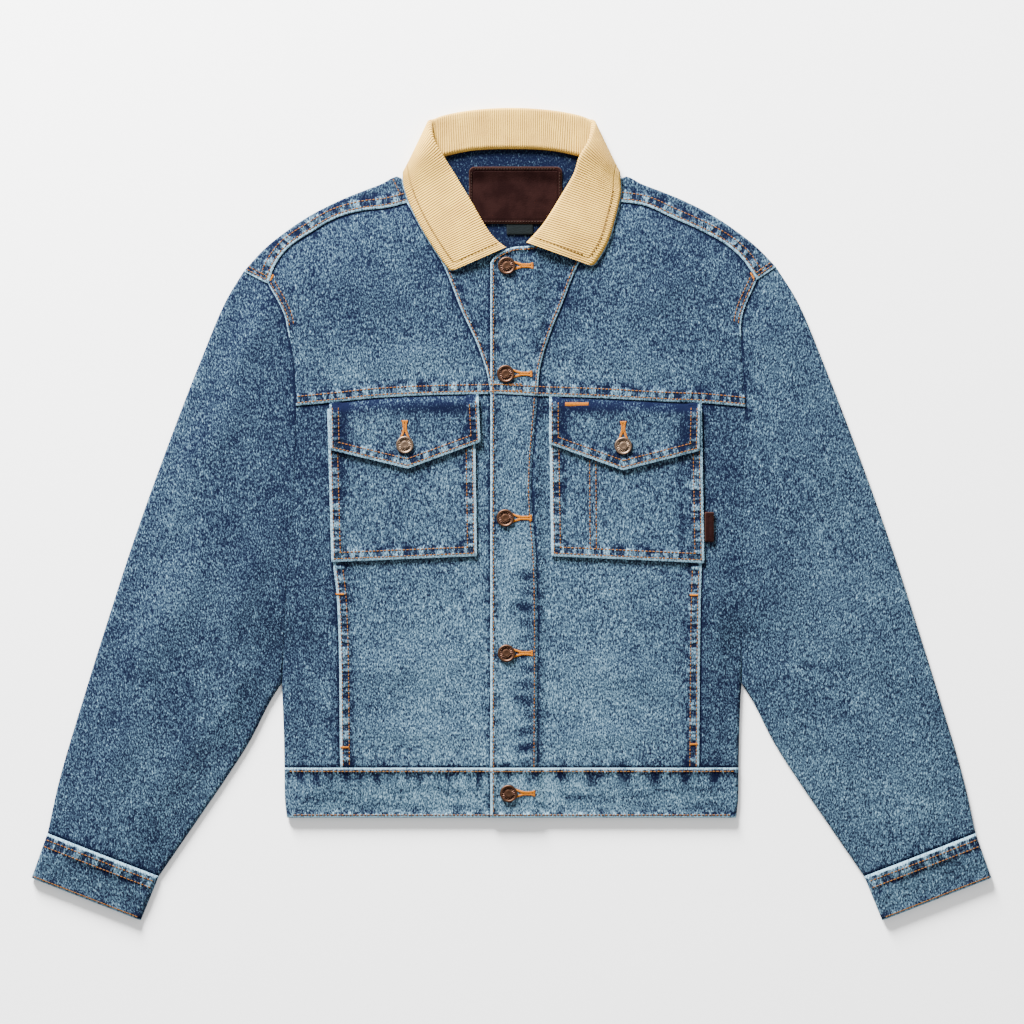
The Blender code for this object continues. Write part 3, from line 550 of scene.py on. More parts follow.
def grid_shares(length, corners=(), soft=(False, False), spacing=SPACING):
    """Shares for the columns of a grid: even, at every corner, and closer at a soft edge."""
    count = max(3, int(round(length / spacing)))
    shares = list(np.linspace(0, 1, count + 1))
    for corner in corners:
        shares[int(np.argmin([abs(s - corner) for s in shares]))] = corner
    near = [0.6, 1.4, 2.5]
    shares += [d / length for d in near] if soft[0] else []
    shares += [1 - d / length for d in near] if soft[1] else []
    return np.array(sorted(shares))


def coons(bottom, right, top, left, us, vs):
    b, t, l, r = bottom.at(us), top.at(us), left.at(vs), right.at(vs)
    u, v = us[None, :, None], vs[:, None, None]
    corners = ((1 - v) * ((1 - u) * b[0] + u * b[-1]) + v * ((1 - u) * t[0] + u * t[-1]))
    return (1 - v) * b[None] + v * t[None] + (1 - u) * l[:, None] + u * r[:, None] - corners


def mesh_of(bm, name):
    """The mesh of a bmesh, which is freed."""
    mesh = bpy.data.meshes.new(name)
    bm.to_mesh(mesh)
    bm.free()
    return mesh


def grid_mesh(name, places):
    """A grid of vertices moved to the given places, in millimetres, rows then columns."""
    rows, cols = places.shape[:2]
    bm = bmesh.new()
    bmesh.ops.create_grid(bm, x_segments=cols - 1, y_segments=rows - 1, size=1)
    for vert in bm.verts:
        col = int(round((vert.co.x + 1) / 2 * (cols - 1)))
        row = int(round((vert.co.y + 1) / 2 * (rows - 1)))
        vert.co = Vector(places[row, col]) * MM
        vert.index = row * cols + col
    bm.verts.sort()
    return mesh_of(bm, name)


def merged(name, *grids):
    """One mesh of grids whose edges share their points."""
    bm = bmesh.new()
    for grid in grids:
        bm.from_mesh(grid)
        bpy.data.meshes.remove(grid)
    bmesh.ops.remove_doubles(bm, verts=bm.verts, dist=MERGE_DISTANCE)
    bmesh.ops.recalc_face_normals(bm, faces=bm.faces)
    return mesh_of(bm, name)


def flat_area(places):
    """The area of a grid laid flat, in square metres, from the diagonals of its cells."""
    rising = places[1:, 1:, :2] - places[:-1, :-1, :2]
    falling = places[1:, :-1, :2] - places[:-1, 1:, :2]
    twice = np.abs(rising[..., 0] * falling[..., 1] - rising[..., 1] * falling[..., 0])
    return float(twice.sum()) / 2 * MM ** 2


def set_values(mesh, values):
    """Store numbers on the vertices, under the names that the materials look up."""
    for key, numbers in values.items():
        mesh.attributes.new(key, "FLOAT", "POINT").data.foreach_set(
            "value", np.asarray(numbers, np.float32).ravel())


def new_object(name, data):
    """An object for a mesh, a lamp or a camera, linked to the scene."""
    made = bpy.data.objects.new(name, data)
    bpy.context.collection.objects.link(made)
    return made


def add_piece(name, mesh, finishes, nodes=(), wall=None):
    """Put a mesh in the frame, with a wall if it is cloth, in place of its CAD nodes."""
    mesh.shade_smooth()
    for finish in finishes:
        mesh.materials.append(finish)
    piece = new_object(name, mesh)
    if wall:
        solid = piece.modifiers.new("wall", "SOLIDIFY")
        solid.thickness, solid.offset = wall * MM, -1
        solid.material_offset = len(finishes) - 1
    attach(piece, "root")
    if nodes:
        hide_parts(*nodes)
    return piece


def keep_piece(name, mesh, finishes, nodes, wall, area, up=True):
    """Turn a face mesh to its outer side and make it a sheet with flat rims."""
    upward = sum(p.area * (1 if p.normal.z > 0 else -1) for p in mesh.polygons)
    if (upward > 0) != up:
        mesh.flip_normals()
    piece = add_piece(name, mesh, finishes, nodes, wall)
    piece.modifiers.new("flat_rims", "WEIGHTED_NORMAL").weight = RIM_WEIGHT


def tree_of(mesh):
    bm = bmesh.new()
    bm.from_mesh(mesh)
    tree = BVHTree.FromBMesh(bm)
    bm.free()
    return tree


def seam_values(flat_points, laps, unders):
    """Distances and runs along the seams that a piece laps over and the seams that it lies under."""
    nothing = np.zeros(len(flat_points))
    values = {"lap_off": nothing + 1.0, "lap_run": nothing, "lap_band": nothing,
              "under_off": nothing + 1.0, "under_run": nothing}
    rise = nothing
    for kind, line, band in ([("lap", *lap) for lap in laps]
                             + [("under", line, 0.0) for line in unders]):
        gap, run = nearest(flat_points, line)
        closer = gap * MM < values[f"{kind}_off"]
        for key, numbers in (("off", gap), ("run", run), ("band", band)):
            if f"{kind}_{key}" in values:
                values[f"{kind}_{key}"] = np.where(closer, numbers * MM, values[f"{kind}_{key}"])
        if kind == "lap":
            rise = np.maximum(rise, LAP_HEIGHT * smooth((band + 2.5 - gap) / 3.0))
    return values, rise


def round_edge(gap):
    """The quarter circle in which cloth turns down towards a fold."""
    return np.sqrt(np.clip(1 - (1 - np.minimum(gap / ROLL, 1.0)) ** 2, 0, 1))


def cloth(name, sides, face, nodes, laps=(), unders=(), folds=(), soft=(False, False),
          finishes=(washed,), lift=0.0, spacing=SPACING, wall=WALL, under_layer=False, tone=0.0):
    """One cut piece. sides are its bottom, right, top and left lines."""
    bottom, right, top, left = sides
    us = grid_shares(max(bottom.length, top.length), bottom.corners + top.corners, soft, spacing)
    vs = grid_shares(max(left.length, right.length), left.corners + right.corners, spacing=spacing)
    places = coons(bottom, right, top, left, us, vs)
    points = places.reshape(-1, 2)
    values, rise = seam_values(points, laps, unders)
    height = face(points) + lift + (0 if under_layer else 1) * rise
    for line, begin in folds:
        gap, run = nearest(points, line)
        amount = smooth((run - begin) / SPLIT) if begin is not None else 1.0
        rolled = MIDDLE + (height - MIDDLE) * np.maximum(round_edge(gap), THIN_EDGE)
        height = height + (rolled - height) * amount
    mesh = grid_mesh(name, np.dstack([places, height.reshape(places.shape[:2])]))
    set_values(mesh, {**values, "shade": wash_and_shade(points) + tone})
    keep_piece(name, mesh, finishes, nodes, wall, flat_area(places),
               up=not under_layer)
    if not under_layer:
        cloth_trees[name] = tree_of(mesh)


print("places of wear and folds:", len(WASH_AND_SHADE_PATCHES) + len(FOLD_SHADE_AND_DYE))

# %% [markdown]
# ## The fronts
# Each front is a chest panel and a shaped upper band above the yoke seam, and a front panel and
# a narrow side panel below it. The left front also has a sewn-on placket. Where two pieces meet,
# one laps over the other, and that decides which side is pale and which is dark.

# %% Chest panels and upper bands
YOKE_BAND, EDGE_BAND, ROW_BAND = 10.0, 3.2, 9.5
for side in SIDES:
    word = WORDS[side]
    chest_foot = curve(side, FRONT_YOKE_SEAM[side][1:])
    band_foot = curve(side, FRONT_YOKE_SEAM[side][:2])
    cloth(f"{word}_chest_cloth", (chest_foot, arm_top[side].back(), shoulder[side],
                                  v_seam[side]), FACE[side],
          laps=[(chest_foot, YOKE_BAND), (cut(arm_top[side], 0, 0.45), 2.0)],
          unders=[v_seam[side], shoulder[side]], nodes=[f"{word}_chest"])
    centre = ruled(side, FRONT_YOKE_SEAM[side][0], FRONT_NECK[side][0])
    laps = [(v_seam[side], EDGE_BAND), (band_foot, YOKE_BAND)]
    laps += [(centre, EDGE_BAND), (neck[side], EDGE_BAND)] if side == LEFT else []
    cloth(f"{word}_upper_band_cloth", (band_foot, v_seam[side], neck[side], centre), FACE[side],
          laps=laps, unders=[] if side == LEFT else [front_edge], nodes=[f"{word}_upper_band"])
print("chest pieces:", len(cloth_trees))

# %% Front panels, placket and side panels
for side in SIDES:
    word = WORDS[side]
    seam = yoke_seam[side]
    split = float(nearest(spot(side, *WELT_SEAM[side][0])[None], seam)[1][0]) / seam.length
    inner = float(nearest(spot(side, *FRONT_YOKE_SEAM[side][1])[None], seam)[1][0]) / seam.length
    if side == LEFT:
        strip = ruled(LEFT, (-21, WAIST), FRONT_YOKE_SEAM[LEFT][0])
        cloth("left_placket_cloth", (ruled(LEFT, (-21, WAIST), (25.5, WAIST)),
                                     placket.back(), cut(seam, 0, inner), strip),
              FACE[LEFT], laps=[(strip, EDGE_BAND)],
              unders=[seam, waist_line], nodes=["left_lower_band"], lift=0.35)
        start, inner_line, first = spot(LEFT, 25.5, WAIST), placket.back(), inner
    else:
        start, first = spot(RIGHT, -14, WAIST), 0.0
        inner_line = straight(start, spot(RIGHT, *FRONT_YOKE_SEAM[RIGHT][0]))
    foot = straight(start, spot(side, *WELT_SEAM[side][-1]))
    cloth(f"{word}_front_cloth", (foot, welt[side].back(), cut(seam, first, split), inner_line),
          FACE[side], laps=[(welt[side], ROW_BAND)],
          unders=[seam, waist_line] + ([placket] if side == LEFT else [front_edge]),
          nodes=[f"{word}_front_panel"])
    outer = chain(arm_low[side], body_side[side]).back()
    # the side panels are toned darker (tone=-0.2): painted shade where they round down beside the
    # sleeves
    cloth(f"{word}_side_cloth",
          (ruled(side, WELT_SEAM[side][-1], BODY_SIDE[-1]), outer,
           cut(seam, split, 1.0), welt[side].back()), FACE[side],
          folds=[(chain(arm_low[side], body_side[side]), arm_low[side].length - SPLIT)],
          soft=(False, True),
          unders=[seam, welt[side], waist_line], nodes=[f"{word}_side_panel"], tone=-0.2)
    band_foot = ruled(side, (-LAP[side], HEM), (224.5, HEM))
    band_head = ruled(side, (-LAP[side], WAIST), (227, WAIST))
    band_end = ruled(side, (-LAP[side], HEM), (-LAP[side], WAIST))
    band_laps = [(band_foot, EDGE_BAND), (band_head, EDGE_BAND + 1)]
    band_laps += [(band_end, EDGE_BAND)] if side == LEFT else []
    cloth(f"{word}_waistband_cloth",
          (band_foot, band_side[side].back(), band_head, band_end), FACE[side],
          laps=band_laps, folds=[(band_side[side], None)], soft=(False, True), lift=0.3,
          spacing=2.8, nodes=[f"waistband_{word}"], unders=[] if side == LEFT else [front_edge])
print("front pieces:", len(cloth_trees))

# %% [markdown]
# ## Sleeves
# A sleeve is a tube, pressed flat: its top layer and its under layer meet along the outer fold
# and along the seam underneath. Both are grids from the cuff to the shoulder, and both roll
# towards half the height at their edges, so that the tube looks round there.

# %% Sleeves
for side in SIDES:
    word = WORDS[side]
    inner, outer = chain(armhole[side], sleeve_inner[side]), sleeve_outer[side]
    foot, head = cuff_seam[side], ruled(side, YOKE_TIP[side], SHOULDER_SEAM[side][-1])
    fold_lines = [(outer, None), (inner, armhole[side].length - SPLIT)]
    for layer, face, low in (("top", front_height, False), ("under", back_height, True)):
        cloth(f"{word}_sleeve_{layer}_cloth", (foot, inner.back(), head, outer.back()),
              face, unders=[foot, cut(inner, 0, 0.22)], folds=fold_lines, soft=(True, True),
              finishes=(sleeve_denim[side],), nodes=[f"{word}_sleeve_{layer}"],
              under_layer=low, spacing=10.0 if low else 4.5)

# %% [markdown]
# ## The back
# Nothing but its edges shows in this view, so the back is two plain layers: the back panel and
# the back waistband. They lie flat on the table and turn up at the sides to meet the fronts.

# %% Back panel and back waistband
BACK_SHARE = 0.37  # of the upper armhole lies above the back yoke's seam
sides_low = {s: chain(cut(arm_top[s], BACK_SHARE, 1.0), arm_low[s], body_side[s]).back()
             for s in SIDES}
back_folds = [(chain(arm_low[s], body_side[s]), arm_low[s].length - SPLIT)
              for s in SIDES]
back_head = straight(sides_low[RIGHT].points[-1], sides_low[LEFT].points[-1])
cloth("back_panel_cloth", (waist_line, sides_low[LEFT], back_head, sides_low[RIGHT]),
      back_height, folds=back_folds, soft=(True, True), under_layer=True, spacing=10.0,
      unders=[waist_line], nodes=["back_panel"])
cloth("back_waistband_cloth", (hem_line, band_side[LEFT].back(), waist_line,
                               band_side[RIGHT].back()), back_height,
      folds=[(band_side[s], None) for s in SIDES], soft=(True, True),
      under_layer=True, spacing=10.0, laps=[(waist_line, EDGE_BAND), (hem_line, EDGE_BAND)],
      nodes=["waistband_back"])

# %% [markdown]
# ## The back yoke
# This jacket has forward shoulder seams: the yoke starts on the back, wraps over the shoulder
# fold and ends on the front. It is one piece, made of two wings and a centre patch whose edges
# share their points and are merged. Its inside shows through the neck, so the Solidify modifier
# gives the inner wall the unwashed denim.

# %% Back yoke
YOKE_ROWS = {"back": 9, "fold": 8, "front": 9}


def between(first, last, count, height):
    """Points on a straight line with their height, as rows of a section."""
    flat = first + np.linspace(0, 1, count)[:, None] * (last - first)
    return np.column_stack([flat, height(flat)])


def yoke_section(foot, tip, front_point):
    """From the back seam, round the shoulder fold, to the seam on the front."""
    ways = [(p - tip) / np.linalg.norm(p - tip) for p in (foot, front_point)]
    away = (ways[0] + ways[1]) / np.linalg.norm(ways[0] + ways[1])
    low, high = back_height(tip[None])[0], front_height(tip[None])[0]
    radius, middle = (high - low) / 2, (high + low) / 2
    start = tip + away * radius
    turns = np.radians(np.linspace(-90, 90, YOKE_ROWS["fold"] + 2)[1:-1])
    arc = [(*(tip + away * radius * (1 - math.cos(a))), middle + radius * math.sin(a))
           for a in turns]
    return np.vstack([between(foot, start, YOKE_ROWS["back"], back_height), arc,
                      between(start, front_point, YOKE_ROWS["front"], front_height)])


wings, first_columns, yoke_area = [], {}, 0.0
for side in SIDES:
    shares = grid_shares(shoulder_fold[side].length, spacing=5.0)
    tips, points = shoulder_fold[side].at(shares), whole_shoulder[side].at(shares)
    feet = (spot(side, 84, BACK_SEAM)[None] * (1 - shares)[:, None]
            + arm_top[side].at([BACK_SHARE])[0][None] * shares[:, None])
    yoke_area += flat_area(np.array([feet, tips, points]))  # back part, fold, front part
    sections = [yoke_section(*row) for row in zip(feet, tips, points)]
    first_columns[side] = sections[0][:YOKE_ROWS["back"]]
    wings.append(grid_mesh("wing", np.array(sections)))
columns = [first_columns[RIGHT]]
for out in range(-78, 79, 6):
    drop = float(np.interp(abs(out), *np.transpose(BACK_NECK)))
    columns.append(between(spot(LEFT, out, BACK_SEAM), spot(LEFT, out, drop),
                           YOKE_ROWS["back"], back_height))
columns.append(first_columns[LEFT])
yoke_area += flat_area(np.array(columns))
yoke_mesh = merged("back_yoke_cloth", *wings, grid_mesh("neck_patch", np.array(columns)))
flat_points = np.array([v.co[:2] for v in yoke_mesh.vertices]) / MM
yoke_laps = [(whole_shoulder[s], YOKE_BAND) for s in SIDES]
yoke_laps += [(ruled(s, YOKE_TIP[s], SHOULDER_SEAM[s][-1]), EDGE_BAND) for s in SIDES]
yoke_values, yoke_rise = seam_values(flat_points, yoke_laps, [])
set_values(yoke_mesh, {**yoke_values, "shade": wash_and_shade(flat_points)})
for vert, rise in zip(yoke_mesh.vertices, yoke_rise):
    vert.co.z += rise * MM if vert.co.z / MM > MIDDLE + 1.5 else 0.0
keep_piece("back_yoke_cloth", yoke_mesh, (washed, unwashed), ["back_yoke"], WALL,
           yoke_area, up=False)
cloth_trees["back_yoke_cloth"] = tree_of(yoke_mesh)
print("yoke faces:", len(yoke_mesh.polygons))

# %% [markdown]
# ## Cuffs
# A cuff is a straight band, doubled and sewn to the end of the sleeve. Pressed flat it is a tube
# of two layers. One grid runs over the top and back underneath, and its two long edges are merged
# at the fold, so that the tube has no gap at its sides.

# %% Cuffs
for side in SIDES:
    cuff_laps = [(cuff_seam[side], 14.0), (cuff_end[side], 1.0)]
    shares = grid_shares(cuff_seam[side].length, soft=(True, True))
    rows = []
    for share in np.linspace(0, 1, 13):
        ends = [a + share * (b - a) for a, b in zip(cuff_seam[side].points[[0, -1]],
                                                     cuff_end[side].points[[0, -1]])]
        width = np.linalg.norm(ends[1] - ends[0])
        flat = ends[0] + shares[:, None] * (ends[1] - ends[0])
        gap = np.minimum(shares, 1 - shares) * width
        turn = round_edge(gap)
        rise = seam_values(flat, cuff_laps, [])[1]
        top = MIDDLE + (front_height(flat) + rise + 0.5 - MIDDLE) * turn
        rows.append(np.vstack([np.column_stack([flat, top]),
                               np.column_stack([flat, MIDDLE * (1 - turn)])[::-1]]))
    name = f"{WORDS[side]}_cuff_cloth"
    cuff_mesh = merged(name, grid_mesh("cuff_grid", np.array(rows)))
    flat_points = np.array([v.co[:2] for v in cuff_mesh.vertices]) / MM
    set_values(cuff_mesh, {**seam_values(flat_points, cuff_laps, [])[0],
                           "shade": wash_and_shade(flat_points) + 0.65})
    top_faces = [p for p in cuff_mesh.polygons if p.center.z > (MIDDLE + 2) * MM]
    if sum(p.normal.z for p in top_faces) < 0:
        cuff_mesh.flip_normals()
    cloth_trees[name] = tree_of(cuff_mesh)
    piece = add_piece(name, cuff_mesh, [sleeve_denim[side]], [f"{WORDS[side]}_cuff"],
                      WALL)
print("cuffs made")

# %% [markdown]
# ## Pockets and flaps
# A patch pocket is a square of cloth with its edges folded under, so its rim is twice as thick.
# It is made like any panel and lifted by a little more than its own thickness. The flap lies on
# the pocket and has a point in the middle, which the grid takes from a corner of its bottom line.

# %% Pockets and flaps
PATCH_WALL, FLAP_LIFT = 1.2, 3.7
for side in SIDES:
    word = WORDS[side]
    top_out, foot_out, foot_in, top_in = (spot(side, *row) for row in POCKET[side])
    lines = (straight(foot_in, foot_out), straight(foot_out, top_out), straight(top_in, top_out),
             straight(foot_in, top_in))
    cloth(f"{word}_pocket_cloth", lines, FACE[side], laps=[(l, ROW_BAND) for l in lines],
          finishes=(pocket_denim,), nodes=[f"{word}_pocket"], lift=1.5, wall=PATCH_WALL,
          spacing=3.5)
    out_foot, point, in_foot = (spot(side, *row) for row in FLAP[side][1:4])
    top_shares = [nearest(spot(side, FLAP[side][k][0], 295)[None], yoke_seam[side])[1][0]
                  / yoke_seam[side].length for k in (4, 0)]
    seam = cut(yoke_seam[side], *top_shares)
    lines = (straight(in_foot, point, out_foot), straight(out_foot, seam.points[-1]), seam,
             straight(in_foot, seam.points[0]))

    def flap_face(points, side=side):
        clear = nearest(points, yoke_seam[side])[0]
        return FACE[side](points) - 0.3 + FLAP_LIFT * smooth(clear / 9)
    cloth(f"{word}_flap_cloth", lines, flap_face,
          laps=[(l, ROW_BAND) for l in (lines[0], lines[1], lines[3])], unders=[seam],
          finishes=(pocket_denim,), nodes=[f"{word}_flap"], wall=PATCH_WALL, spacing=3.5)
print("patch pieces:", len(cloth_trees))

# %% [markdown]
# ## The collar
# A collar stands up from the neck seam, rolls over and falls to its outer edge. Each section of
# it is a stand, a half circle and a fall, and the sections turn as they go round: at the back the
# fall is pressed under the shoulders, at the front it lies on the chest. Corduroy's ribs run from
# seam to edge, so the sections double as the direction of the ribs.

# %% Collar sections
COLLAR_FRONT = {  # (out, drop, height) of the roll, of the edge and of the seam, then the turn
    RIGHT: [((5.8, 139.6, 6.2), (60.5, 164, 6.3), (11, 142, 4.4), 90),
            ((21.5, 125, 6.2), (72.5, 148, 6.3), (31, 135, 4.4), 90),
            ((42, 90.5, 6.2), (89.5, 121, 6.3), (59, 114, 4.4), 90),
            ((57.5, 65, 8.4), (102.5, 94, 6.6), (75, 92, 4.9), 90),
            ((67.5, 49, 10.4), (107.8, 77, 7.4), (79.5, 79, 5.6), 88)],
    LEFT: [((14.9, 135, 7.8), (81.5, 159, 6.3), (22, 134.5, 5.8), 90),
           ((32, 115.5, 6.7), (96, 135, 6.3), (42, 122.5, 4.7), 90),
           ((51, 85, 6.2), (105, 105, 6.3), (66, 104, 4.4), 90),
           ((62, 66, 8.4), (109, 86, 6.9), (75, 92, 4.9), 90),
           ((67.5, 49, 10.4), (109, 76, 7.4), (79.5, 79, 5.6), 88)],
}
COLLAR_BACK = [((76.5, 33, 11.2), (108.3, 68.5, 7.4), (84.5, 68.5, 8.2), 65),
               ((81, 14.5, 7.4), (107, 64, 4.4), (86, 60, 6.5), 0),
               ((77, 11, 3.7), (104, 70.5, 1.7), (80, 54, 5.6), -65),
               ((66, 7, 2.95), (84, 65.8, 1.15), (66, 48.5, 5.5), -90),
               ((45, 3, 2.95), (60, 60.5, 1.15), (43, 43.5, 5.5), -90),
               ((22, 0.7, 2.95), (30, 56.4, 1.15), (22, 41.7, 5.5), -90),
               ((0, 0, 2.95), (0, 55, 1.15), (0, 41.4, 5.5), -90)]
ROLL_RADIUS, COLLAR_GAP, COLLAR_WALL = 1.8, 0.15, 1.0
COLLAR_HALF = COLLAR_GAP + COLLAR_WALL
LEAF_ARCH = 1.8
STATIONS = 9  # between two rows of the table
STAND_STEPS, ROLL_STEPS, FALL_STEPS = 9, 9, 18
TIP_RADIUS, TIP_PITCH = 4.5, 20.0  # the tips are rounded; one row of the table is 20 mm long


def spline(rows, share):
    """A Catmull-Rom curve through rows of numbers, at a share counted in rows."""
    i = min(int(share), len(rows) - 2)
    t = share - i
    a, b, c, d = (rows[max(0, min(len(rows) - 1, i + k))] for k in (-1, 0, 1, 2))
    return 0.5 * (2 * b + (c - a) * t + (2 * a - 5 * b + 4 * c - d) * t * t
                  + (3 * b - a - 3 * c + d) * t ** 3)


def collar_section(row, reach):
    """Points of the middle surface and the way each faces; reach lengthens the fall."""
    roll, edge, seam = (np.array((row[i], HALF_LENGTH - row[i + 1], row[i + 2]))
                        for i in (0, 3, 6))
    turn = math.radians(max(-90.0, min(90.0, row[9])))
    ahead = (roll - (seam + edge) / 2) * (1, 1, 0)
    ahead /= np.linalg.norm(ahead)
    beside = np.array((ahead[1], -ahead[0], 0))
    beside *= -1 if beside @ (edge - seam) < 0 else 1
    to_fall = beside * math.cos(turn) + np.array((0, 0, math.sin(turn)))
    hub = roll - ahead * (ROLL_RADIUS + COLLAR_HALF)
    stand, fall = hub - to_fall * ROLL_RADIUS, hub + to_fall * ROLL_RADIUS
    edge = edge + (edge - fall) / np.linalg.norm(edge - fall) * reach
    spots, facing = [], []
    for t in np.linspace(0, 1, STAND_STEPS)[:-1]:
        spots.append(seam + t * (stand - seam))
        facing.append(-to_fall)
    for angle in np.radians(np.linspace(0, 180, ROLL_STEPS)):
        way = ahead * math.sin(angle) - to_fall * math.cos(angle)
        spots.append(hub + way * ROLL_RADIUS)
        facing.append(way)
    over = max(0.0, math.sin(turn))
    for t in np.linspace(0, 1, FALL_STEPS)[1:]:
        arch = LEAF_ARCH * over * 4 * t * (1 - t) ** 1.3
        spots.append(fall + t * (edge - fall) + np.array((0, 0, arch)))
        facing.append(to_fall)
    spots = np.array(spots)
    spots[:, 2] += over * swell(spots[:, :2])
    return spots, np.array(facing)


collar_rows = []
for side, tables in ((RIGHT, COLLAR_FRONT[RIGHT] + COLLAR_BACK),
                     (LEFT, (COLLAR_FRONT[LEFT] + COLLAR_BACK[:-1])[::-1])):
    for roll, edge, seam, turn in tables:
        numbers = [v for out, drop, z in (roll, edge, seam) for v in (side * out, drop, z)]
        collar_rows.append(np.array(numbers + [turn], float))
last_row = len(collar_rows) - 1
stations = np.linspace(0, last_row, last_row * STATIONS + 1)
tip_shares = np.array([0.015, 0.035, 0.06, 0.085, 0.15])
stations = np.sort(np.concatenate([stations, tip_shares, last_row - tip_shares]))
print("collar:", len(stations), "sections")

# %% [markdown]
# ## Corduroy
# Corduroy is a cotton cloth with soft raised ribs, here about eleven to the inch. The ribs are a
# sine of the distance along the collar, which each vertex carries, so that they follow the roll
# and the fall. The same wave paints the grooves a little darker, as shade between the ribs.

# %% Corduroy and the collar pieces
RIB = 0.0023
TAN, PALE_TAN = (0.46, 0.268, 0.055, 1), (0.66, 0.402, 0.071, 1)
BROWN, GROOVE_SHADE, PRESSED_SHADE = ((0.20, 0.115, 0.03, 1), (0.21, 0.12, 0.031, 1),
                              (0.16, 0.09, 0.026, 1))


def corduroy():
    made, shader = new_material("corduroy", 0.95)
    wobble = noise(object_place(made), 140, 2.0, 0.6)
    rib = attribute(made, "rib") * (math.tau / RIB) + wobble * 2.0
    wave = rib.maths("SINE") * 0.5 + 0.5
    fuzz = noise(object_place(made), 900, 2.0, 0.7)
    cloud = noise(object_place(made), 30, 3.0, 0.6)
    pile = mix(made, ramp(cloud, 0.3, 0.75), TAN, PALE_TAN)
    pile = mix(made, ramp(fuzz, 0.25, 0.8), mix(made, 0.25, pile, BROWN), pile)
    # the grooves between the ribs: painted shade
    pile = mix(made, ramp(wave, 0.55, 0.05) * 0.42, pile, GROOVE_SHADE)
    # the groove pressed in by the stitch row: painted shade in the colour, and lower in the bump
    off = attribute(made, "edge_off")
    pressed = ramp(off, 0.0066, 0.0078) * ramp(off, 0.0092, 0.0080)
    pile = mix(made, pressed * 0.45, pile, PRESSED_SHADE)
    paint(shader, pile, wave * 0.8 + fuzz * 0.3 - pressed * 0.9, 0.0008, 0.9, specular=0.03)
    shader.inputs["Sheen Weight"].default_value = 0.03
    shader.inputs["Sheen Roughness"].default_value = 0.45
    return made


def collar_piece(name, node, finish, way, offset, reach, wall):
    middle = []
    for share in stations:
        inwards = min(share, last_row - share) * TIP_PITCH
        rounding = TIP_RADIUS - math.sqrt(
            max(0.0, TIP_RADIUS ** 2 - max(0.0, TIP_RADIUS - inwards) ** 2))
        spots, facing = collar_section(spline(collar_rows, share), reach - rounding)
        middle.append(spots + facing * way * offset)
    places = np.array(middle)
    places[..., 2] = np.maximum(places[..., 2], 0.02)
    mesh = grid_mesh(name, places)
    steps = np.linalg.norm(np.diff(places[:, STAND_STEPS + ROLL_STEPS + 5], axis=0), axis=1)
    low_steps = np.linalg.norm(np.diff(places[:, STAND_STEPS + 3], axis=0), axis=1)
    run = np.concatenate([[0], np.cumsum((steps + low_steps) / 2)]) * MM
    across = np.linalg.norm(np.diff(places, axis=1), axis=2)
    to_edge = np.concatenate([across[:, ::-1].cumsum(axis=1)[:, ::-1],
                              np.zeros((len(places), 1))], axis=1)
    to_tips = [np.linalg.norm(places - tip, axis=2) for tip in (places[:1], places[-1:])]
    edge = np.minimum(to_edge, np.minimum(*to_tips)) * MM
    nothing = edge * 0
    set_values(mesh, {"rib": np.repeat(run, places.shape[1]), "edge_off": edge, "lap_off": edge,
                      "lap_run": nothing, "lap_band": nothing, "under_off": nothing + 1,
                      "under_run": nothing, "shade": nothing})
    leaf = places[2 * STATIONS, STAND_STEPS + ROLL_STEPS + 8]
    found = min(mesh.polygons, key=lambda p: (p.center - Vector(leaf) * MM).length)
    if (found.normal.z > 0) != (way > 0):
        mesh.flip_normals()
    piece = add_piece(name, mesh, [finish], [node], wall)
    cloth_trees[name] = tree_of(mesh)
    return places


leaf_places = collar_piece("corduroy_collar", "top_collar", corduroy(), 1,
                           COLLAR_HALF, 0.0, COLLAR_WALL)
collar_piece("denim_under_collar", "under_collar", washed, -1, COLLAR_HALF, 1.0,
             COLLAR_WALL)

# %% [markdown]
# ## Labels
# The neck carries a brown leather patch with rounded corners, and below it hangs a small woven
# tab. A folded leather tab sticks out of the left pocket's side. All three are small grids whose
# corners are drawn in, and their materials alone tell leather from ribbon.

# %% Leather, ribbon and the three labels
def leather():
    made, shader = new_material("brown_leather", 0.85)
    grain = noise(object_place(made), 700, 3.0, 0.65)
    cloud = noise(object_place(made), 60, 2.0, 0.6)
    colour = mix(made, ramp(cloud, 0.3, 0.7), (0.0056, 0.0017, 0.0016, 1),
                 (0.0102, 0.0036, 0.0032, 1))
    off = attribute(made, "edge_off")
    rim = ramp(off, 0.0012, 0.0002)
    frame_line = ramp(off, 0.0034, 0.0040) * ramp(off, 0.0050, 0.0044)
    colour = mix(made, rim * 0.5, colour, (0.04, 0.02, 0.014, 1))
    paint(shader, colour, grain * 0.5 - frame_line, 0.0006, 0.8, specular=0.02)
    return made


def ribbon():
    made, shader = new_material("woven_tab", 0.8)
    weave = noise(object_place(made, 0, (0.3, 2.2, 1)), 900, 1.0, 0.5)
    colour = mix(made, weave, (0.0026, 0.0040, 0.0044, 1), (0.0050, 0.0072, 0.0080, 1))
    paint(shader, colour, weave, 0.0003, specular=0.05)
    return made


